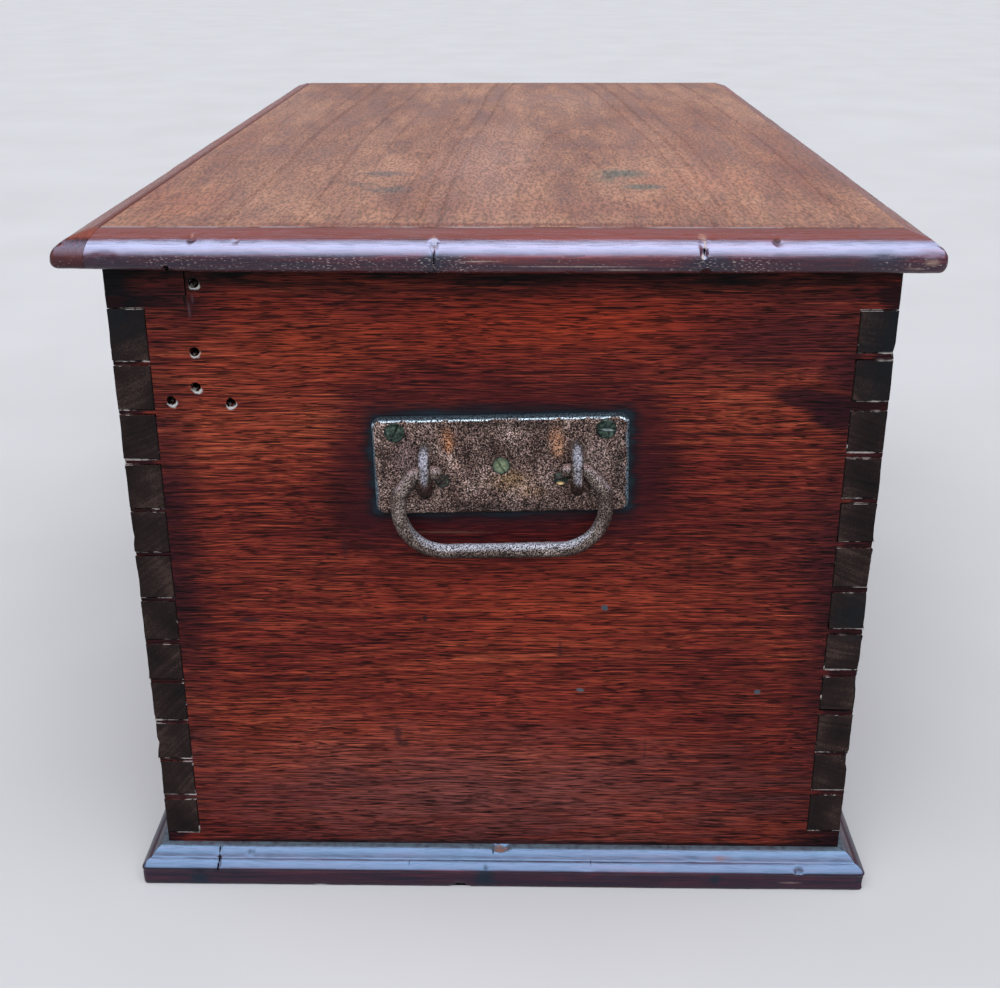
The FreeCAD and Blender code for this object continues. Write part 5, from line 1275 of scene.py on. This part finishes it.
# ---------------------------------------------------------------------------
# Eyes and bails. Two round iron bars are bent into eyes through each plate, and a
# heavier bar, the bail, is bent to hang in them. Both were forged by hand, so their
# thickness wanders, and their faces are hammered, pitted and rubbed bright.
# ---------------------------------------------------------------------------
def nodes_tree(name, sockets):
    """An empty Geometry Nodes tree with named inputs, and its two end nodes."""
    tree = bpy.data.node_groups.new(name, "GeometryNodeTree")
    tree.interface.new_socket("Geometry", in_out="INPUT", socket_type="NodeSocketGeometry")
    for label, kind, value in sockets:
        socket = tree.interface.new_socket(label, in_out="INPUT", socket_type="NodeSocket" + kind)
        if value is not None:
            socket.default_value = value
    tree.interface.new_socket("Geometry", in_out="OUTPUT", socket_type="NodeSocketGeometry")
    return tree, tree.nodes.new("NodeGroupInput"), tree.nodes.new("NodeGroupOutput")


def grown(start, tree, values, name):
    """The mesh that the tree makes of an object, as a new object without the modifier."""
    maker = start.modifiers.new(tree.name, "NODES")
    maker.node_group = tree
    for item in tree.interface.items_tree:
        if item.in_out == "INPUT" and item.name in values:
            maker[item.identifier] = values[item.name]
    mesh = solved_mesh(start)
    bpy.data.objects.remove(start)
    return placed(name, mesh)


bar_tree, given, result = nodes_tree("forged bar", (
    ("Bar Radius", "Float", 0.004), ("Corner Points", "Int", 12), ("Spacing", "Float", 0.001),
    ("Wander", "Float", 0.06), ("Hammering", "Float", 0.0004), ("Pitting", "Float", 0.0002),
    ("Rounded Ends", "Float", 1.0), ("Iron", "Material", None)))
inputs = given.outputs
bend = add(bar_tree, "GeometryNodeInputNamedAttribute", {"Name": "bend"}, data_type="FLOAT")
run = add(bar_tree, "GeometryNodeMeshToCurve", {0: inputs["Geometry"]})
run = add(bar_tree, "GeometryNodeFilletCurve", {"Curve": run, "Count": inputs["Corner Points"],
                                                "Radius": bend}, mode="POLY")
run = add(bar_tree, "GeometryNodeResampleCurve", {"Curve": run, "Length": inputs["Spacing"]},
          mode="LENGTH")
spot = add(bar_tree, "GeometryNodeInputPosition")
along = add(bar_tree, "GeometryNodeSplineParameter", out="Length")
total = add(bar_tree, "GeometryNodeSplineLength", out="Length")
# a dome at each end: the radius falls off over one radius of length
nearest_end = calc(bar_tree, "SUBTRACT", total, along)
nearest_end = calc(bar_tree, "MINIMUM", along, nearest_end)
share = calc(bar_tree, "DIVIDE", nearest_end, inputs["Bar Radius"])
share = calc(bar_tree, "MINIMUM", share, 1.0)
short = calc(bar_tree, "SUBTRACT", 1.0, share)
short = calc(bar_tree, "MULTIPLY", short, short)
dome = calc(bar_tree, "SUBTRACT", 1.0001, short)
dome = calc(bar_tree, "POWER", dome, 0.5)
square_end = calc(bar_tree, "SUBTRACT", 1.0, inputs["Rounded Ends"])
dome = calc(bar_tree, "MAXIMUM", dome, square_end)
swell = noise_node(bar_tree, spot, 38.0, 1.0)
swell = calc(bar_tree, "SUBTRACT", swell, 0.5)
swell = calc(bar_tree, "MULTIPLY_ADD", swell, inputs["Wander"], 1.0)
thick = calc(bar_tree, "MULTIPLY", swell, dome)
thick = calc(bar_tree, "MULTIPLY", thick, inputs["Bar Radius"])
run = add(bar_tree, "GeometryNodeSetCurveRadius", {"Curve": run, "Radius": thick})
ring = add(bar_tree, "GeometryNodeCurvePrimitiveCircle", {"Resolution": 22, "Radius": 1.0})
skin = add(bar_tree, "GeometryNodeCurveToMesh", {"Curve": run, "Profile Curve": ring,
                                                 "Fill Caps": True})
if "Scale" in skin.node.inputs:
    bar_tree.links.new(thick, skin.node.inputs["Scale"])
facing = add(bar_tree, "GeometryNodeInputNormal")
blows = noise_node(bar_tree, spot, 150.0, 1.0)
blows = calc(bar_tree, "SUBTRACT", blows, 0.5)
blows = calc(bar_tree, "MULTIPLY", blows, inputs["Hammering"])
pits = noise_node(bar_tree, spot, 620.0, 2.0)
pits = calc(bar_tree, "SUBTRACT", pits, 0.5)
push = calc(bar_tree, "MULTIPLY_ADD", pits, inputs["Pitting"], blows)
push = add(bar_tree, "VectorMath", {0: facing, "Scale": push}, operation="SCALE")
skin = add(bar_tree, "GeometryNodeSetPosition", {"Geometry": skin, "Offset": push})
skin = add(bar_tree, "GeometryNodeRealizeInstances", {0: skin})
skin = add(bar_tree, "GeometryNodeSetMaterial", {"Geometry": skin, "Material": inputs["Iron"]})
bar_tree.links.new(skin, result.inputs[0])


def bent_bars(name, runs, radius, sign, metal, widen=1.0, **values):
    """Bars along runs of (out, across, up, bend radius) points, in a handle's own axes.
    widen stretches each bar across, about its own end."""
    points, edges, bends = [], [], []
    for row in runs:
        edges += [(len(points) + k, len(points) + k + 1) for k in range(len(row) - 1)]
        points += [Vector(p[:3]) * MM for p in row]
        bends += [p[3] * MM for p in row]
    mesh = bpy.data.meshes.new(name + "_line")
    mesh.from_pydata(points, edges, [])
    mesh.attributes.new("bend", "FLOAT", "POINT").data.foreach_set("value", bends)
    piece = grown(placed(name + "_line", mesh), bar_tree,
                  {"Bar Radius": radius * MM, "Iron": metal, **values}, name)
    for point in piece.data.vertices:
        middle = math.copysign(runs[0][0][1] * MM, point.co.y)
        point.co.y = middle + (point.co.y - middle) * widen
    piece.data.transform(handle_matrix(sign))
    piece.data.shade_smooth()
    return piece


EYE_ACROSS, EYE_UP, EYE_HALF, EYE_OUT, EYE_THICK = 45.0, -0.7, 13.2, 19.0, 6.7
EYE_WIDEN = 1.12                    # the eyes were hammered a little flat
PIVOT_OUT, PIVOT_UP = 11.0, -1.45
BAIL_THICK = 9.2
# (across, below the pivot, bend radius) from the bail's end in the eye to its lowest bend
BAIL_BENDS = ((35, 0, 0), (50, 0, 6), (62, 14, 8), (62, 51, 28))


def eye_highlight_and_shade(tree, colour, place, facing, pits, patches):
    """The front and top of each eye get a painted pale highlight; lower down the eye is
    rust brown deepened by painted shade, and its underside is painted black-brown shade.
    """
    # painted highlight on what faces out and up
    outward = calc(tree, "ABSOLUTE", axis_of(tree, facing, "X"))
    upright = axis_of(tree, facing, "Z")
    rubbed = calc(tree, "MULTIPLY_ADD", upright, 0.75, outward)
    rubbed = calc(tree, "MULTIPLY_ADD", pits, 0.7, rubbed)
    colour = mix(tree, fade(tree, rubbed, 1.08, 1.5), colour, "#8c8a92")
    # rust brown with painted shade low on the eye
    foot = fade(tree, axis_of(tree, place, "Z"), 298.5 * MM, 293.5 * MM, full=0.85)
    colour = mix(tree, foot, colour, "#3a221a")
    # painted shade on the underside
    low = fade(tree, upright, -0.05, -0.6, full=0.8)
    return mix(tree, low, colour, "#1a1210")


def bail_wear_and_light(tree, colour, place, facing, pits, patches):
    """What faces up is grey and bright, worn where a hand closes on it and a painted
    highlight; its ends are rusted pink, and its underside is painted dark shade.
    """
    upright = axis_of(tree, facing, "Z")
    # grey wear and a painted highlight on what faces up
    rub = calc(tree, "MULTIPLY_ADD", pits, 0.9, upright)
    rub = fade(tree, rub, 0.75, 1.35, full=0.8)
    grey = mix(tree, rub, colour, "#a9abb4")
    rusty = mix(tree, 0.6, colour, "#b08578")
    high = fade(tree, axis_of(tree, place, "Z"), 262.0 * MM, 296.0 * MM)
    high = calc(tree, "MULTIPLY", high, rub)
    colour = mix(tree, high, grey, rusty)
    # painted shade on the underside
    low = fade(tree, upright, -0.1, -0.7, full=0.75)
    return mix(tree, low, colour, "#171210")


BAR_SHADES = ("#120b08", "#362a24", "#675a52", "#aaa09a")
eye_iron = old_metal("forged iron, eyes", BAR_SHADES, 111, 0.5, 0.48, grit=850.0, bump=0.8,
                     extra=eye_highlight_and_shade, grain=(0.3, 1.7))
bail_iron = old_metal("forged iron, bail", BAR_SHADES, 112, 0.5, 0.36, grit=1150.0, bump=1.0,
                      extra=bail_wear_and_light, grain=(0.12, 2.2))
for side, sign in (("right", 1), ("left", -1)):
    low, high = EYE_UP - EYE_HALF, EYE_UP + EYE_HALF
    loops = [[(1.0, across, high, 0), (EYE_OUT, across, high, 9), (EYE_OUT, across, low, 9),
              (1.0, across, low, 0)] for across in (-EYE_ACROSS, EYE_ACROSS)]
    eyes = bent_bars(f"{side}_handle_eyes_forged", loops, EYE_THICK / 2, sign, eye_iron,
                     EYE_WIDEN, **{"Rounded Ends": 0.0, "Spacing": 0.9 * MM,
                                   "Hammering": 0.35 * MM})
    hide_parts(f"{side}_handle_eyes")
    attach(eyes, "case")
    half = [(PIVOT_OUT, across, PIVOT_UP - drop, bend) for across, drop, bend in BAIL_BENDS]
    loop = [(out, -across, up, bend) for out, across, up, bend in half] + half[::-1]
    bail = bent_bars(f"{side}_bail_forged", [loop], BAIL_THICK / 2, sign, bail_iron,
                     **{"Spacing": 1.1 * MM, "Wander": 0.14, "Hammering": 0.5 * MM,
                        "Pitting": 0.35 * MM})
    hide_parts(f"{side}_bail")
    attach(bail, f"{side}_bail")


# ---------------------------------------------------------------------------
# Handle screws. Five slotted bronze wood screws hold each plate, their heads flush
# with it and gone dark green; the lower pair are smaller and sit close to the eyes.
# ---------------------------------------------------------------------------
def shifted(tree, geometry, up):
    """The geometry moved up, or down where up is below zero."""
    move = add(tree, "CombineXYZ", {"Z": up})
    return add(tree, "GeometryNodeTransform", {"Geometry": geometry, "Translation": move})


screw_tree, given, result = nodes_tree("slotted screws", (
    ("Slot Width", "Float", 0.12), ("Slot Depth", "Float", 0.13), ("Chamfer", "Float", 0.035),
    ("Head Depth", "Float", 0.30), ("Shank", "Float", 0.2), ("Length", "Float", 1.5),
    ("Bronze", "Material", None)))
inputs = given.outputs
bevel = inputs["Chamfer"]
top_radius = calc(screw_tree, "SUBTRACT", 0.5, bevel)
top = add(screw_tree, "GeometryNodeMeshCone", {"Vertices": 40, "Radius Top": top_radius,
                                               "Radius Bottom": 0.5, "Depth": bevel})
down = calc(screw_tree, "MULTIPLY", bevel, -1.0)
top = shifted(screw_tree, top, down)
skirt = add(screw_tree, "GeometryNodeMeshCylinder", {"Vertices": 40, "Radius": 0.5,
                                                     "Depth": inputs["Head Depth"]})
down = calc(screw_tree, "MULTIPLY_ADD", inputs["Head Depth"], -0.5, down)
skirt = shifted(screw_tree, skirt, down)
slot_high = calc(screw_tree, "MULTIPLY", inputs["Slot Depth"], 2.0)
slot_size = add(screw_tree, "CombineXYZ", {"X": inputs["Slot Width"], "Y": 1.2, "Z": slot_high})
slot_cut = add(screw_tree, "GeometryNodeMeshCube", {"Size": slot_size})
head = add(screw_tree, "GeometryNodeMeshBoolean", {"Mesh 2": [top, skirt]}, operation="UNION",
           solver="EXACT")
cut = add(screw_tree, "GeometryNodeMeshBoolean", {"Mesh 1": head, "Mesh 2": slot_cut},
          operation="DIFFERENCE", solver="EXACT")
shank = add(screw_tree, "GeometryNodeMeshCylinder", {
    "Vertices": 16, "Radius": inputs["Shank"], "Depth": inputs["Length"]})
down = calc(screw_tree, "MULTIPLY_ADD", inputs["Length"], 0.5, inputs["Head Depth"])
down = calc(screw_tree, "MULTIPLY", down, -1.0)
shank = shifted(screw_tree, shank, down)
whole = add(screw_tree, "GeometryNodeJoinGeometry", {0: [cut, shank]})
spots = add(screw_tree, "GeometryNodeMeshToPoints", {0: inputs["Geometry"]})
size = add(screw_tree, "GeometryNodeInputNamedAttribute", {"Name": "head"}, data_type="FLOAT")
turn = add(screw_tree, "GeometryNodeInputNamedAttribute", {"Name": "turn"},
           data_type="FLOAT_VECTOR")
screws = add(screw_tree, "GeometryNodeInstanceOnPoints", {
    "Points": spots, "Instance": whole, "Rotation": turn, "Scale": size})
screws = add(screw_tree, "GeometryNodeRealizeInstances", {0: screws})
screws = add(screw_tree, "GeometryNodeSetMaterial", {"Geometry": screws,
                                                     "Material": inputs["Bronze"]})
screw_tree.links.new(screws, result.inputs[0])


def screw_tints(tree, colour, place, facing, pits, patches):
    """The middle screw is a lighter green, and one lower screw shows bare brass at its rim."""
    gritty = calc(tree, "SUBTRACT", pits, 0.5)
    return handle_stains(tree, colour, place, gritty, (
        (0.0, 0.0, 6.0, 6.0, "#8d9a78", 0.7), (62.5, 21.4, 5.2, 0.5, "#c4d2d2", 0.9),
        (35.5, -12.3, 3.4, 1.8, "#e8c58a", 0.95), (35.0, -8.0, 3.4, 3.4, "#4a4442", 0.7),
        (-35.5, -9.0, 5.0, 5.0, "#4a3e3a", 0.7)), 0.4)


PROUD, SUNK = 0.25, -0.1            # how the large and the small heads sit in the plate's face
screw_bronze = old_metal("bronze, handle screws", ("#131a17", "#26322c", "#3d4b42", "#57665a"),
                         121, 0.55, 0.42, grit=500.0, bump=0.15, extra=screw_tints)
for side, sign in (("right", 1), ("left", -1)):
    mesh = bpy.data.meshes.new(f"{side}_screw_spots")
    mesh.from_pydata([((PLATE_THICK + (PROUD if head > 9 else SUNK)) * MM, y * MM, z * MM)
                      for y, z, head, _ in SCREW_SPOTS], [], [])
    mesh.attributes.new("head", "FLOAT", "POINT").data.foreach_set(
        "value", [head * MM for _, _, head, _ in SCREW_SPOTS])
    turns = [(Matrix.Rotation(math.radians(angle), 3, "X") @
              Matrix.Rotation(math.pi / 2, 3, "Y")).to_euler() for *_, angle in SCREW_SPOTS]
    mesh.attributes.new("turn", "FLOAT_VECTOR", "POINT").data.foreach_set(
        "vector", [angle for turn in turns for angle in turn])
    start = placed(f"{side}_screw_spots", mesh)
    piece = grown(start, screw_tree, {"Bronze": screw_bronze}, f"{side}_handle_screws_slotted")
    piece.data.transform(handle_matrix(sign))
    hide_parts(f"{side}_handle_screws")
    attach(piece, "case")


# ---------------------------------------------------------------------------
# Studio. A plain pale floor, an even sky with one long soft window high in front of
# the right end, and the camera.
# ---------------------------------------------------------------------------
FLOOR_REACH = 30.0
mesh = bpy.data.meshes.new("floor")
mesh.from_pydata([(x * FLOOR_REACH, y * FLOOR_REACH, 0.0)
                  for x, y in ((-1, -1), (1, -1), (1, 1), (-1, 1))], [], [(0, 1, 2, 3)])
floor = placed("floor", mesh)
paint = bpy.data.materials.new("matt paint, studio floor")
paint.use_nodes = True
tree = paint.node_tree
mottle = add(tree, "TexNoise", {"Vector": add(tree, "TexCoord", out="Object"), "Scale": 3.0})
tree.links.new(add(tree, "ValToRGB", {"Fac": mottle},
                   stops=[(0.3, "#b9b8b6"), (0.7, "#bfbebc")]),
               tree.nodes["Principled BSDF"].inputs["Base Color"])
tree.nodes["Principled BSDF"].inputs["Roughness"].default_value = 0.9
mesh.materials.append(paint)


ZENITH_LEVEL, HORIZON_LEVEL, WINDOW_LEVEL = 0.2, 0.5, 3.0
sky = bpy.data.worlds.new("pale sky with a tall soft window")
sky.use_nodes = True
tree = sky.node_tree
way = add(tree, "TexCoord", out="Generated")
upright = vector_calc(tree, "MULTIPLY", way, (1.0, 0.0, 1.0))
length = vector_calc(tree, "LENGTH", upright)
upright = vector_calc(tree, "NORMALIZE", upright)
upright = axis_of(tree, upright, "Z")
# the window reaches from low in front of the chest to a little past overhead
sill = fade(tree, upright, math.sin(math.radians(10)), math.sin(math.radians(28)),
            curve="SMOOTHSTEP")
head = fade(tree, upright.node.outputs[0], math.cos(math.radians(109)),
            math.cos(math.radians(101)), curve="SMOOTHSTEP")
wide = fade(tree, length, math.cos(math.radians(46)), math.cos(math.radians(24)),
            curve="SMOOTHSTEP")
glow = calc(tree, "MULTIPLY", sill, head)
glow = calc(tree, "MULTIPLY", glow, wide)
level = fade(tree, axis_of(tree, way, "Z"), 0.25, 0.85, HORIZON_LEVEL, ZENITH_LEVEL,
             curve="SMOOTHSTEP")
glow = calc(tree, "MULTIPLY_ADD", glow, WINDOW_LEVEL, level)
backdrop = tree.nodes["Background"]
backdrop.inputs["Color"].default_value = linear("#f2f5ff")
tree.links.new(glow, backdrop.inputs["Strength"])
bpy.context.scene.world = sky

CAMERA_PLACE = (1.1468, 0.0153, 0.5918)
CAMERA_ANGLES = (67.3792, 0.1252, 91.0094)  # degrees
lens = bpy.data.cameras.new("camera")
lens.sensor_width = 36.0
lens.lens = 48.135
lens.clip_end = 100.0
camera = placed("camera", lens)
camera.location = CAMERA_PLACE
camera.rotation_euler = [math.radians(angle) for angle in CAMERA_ANGLES]
bpy.context.scene.camera = camera
bpy.context.scene.view_settings.view_transform = "Standard"
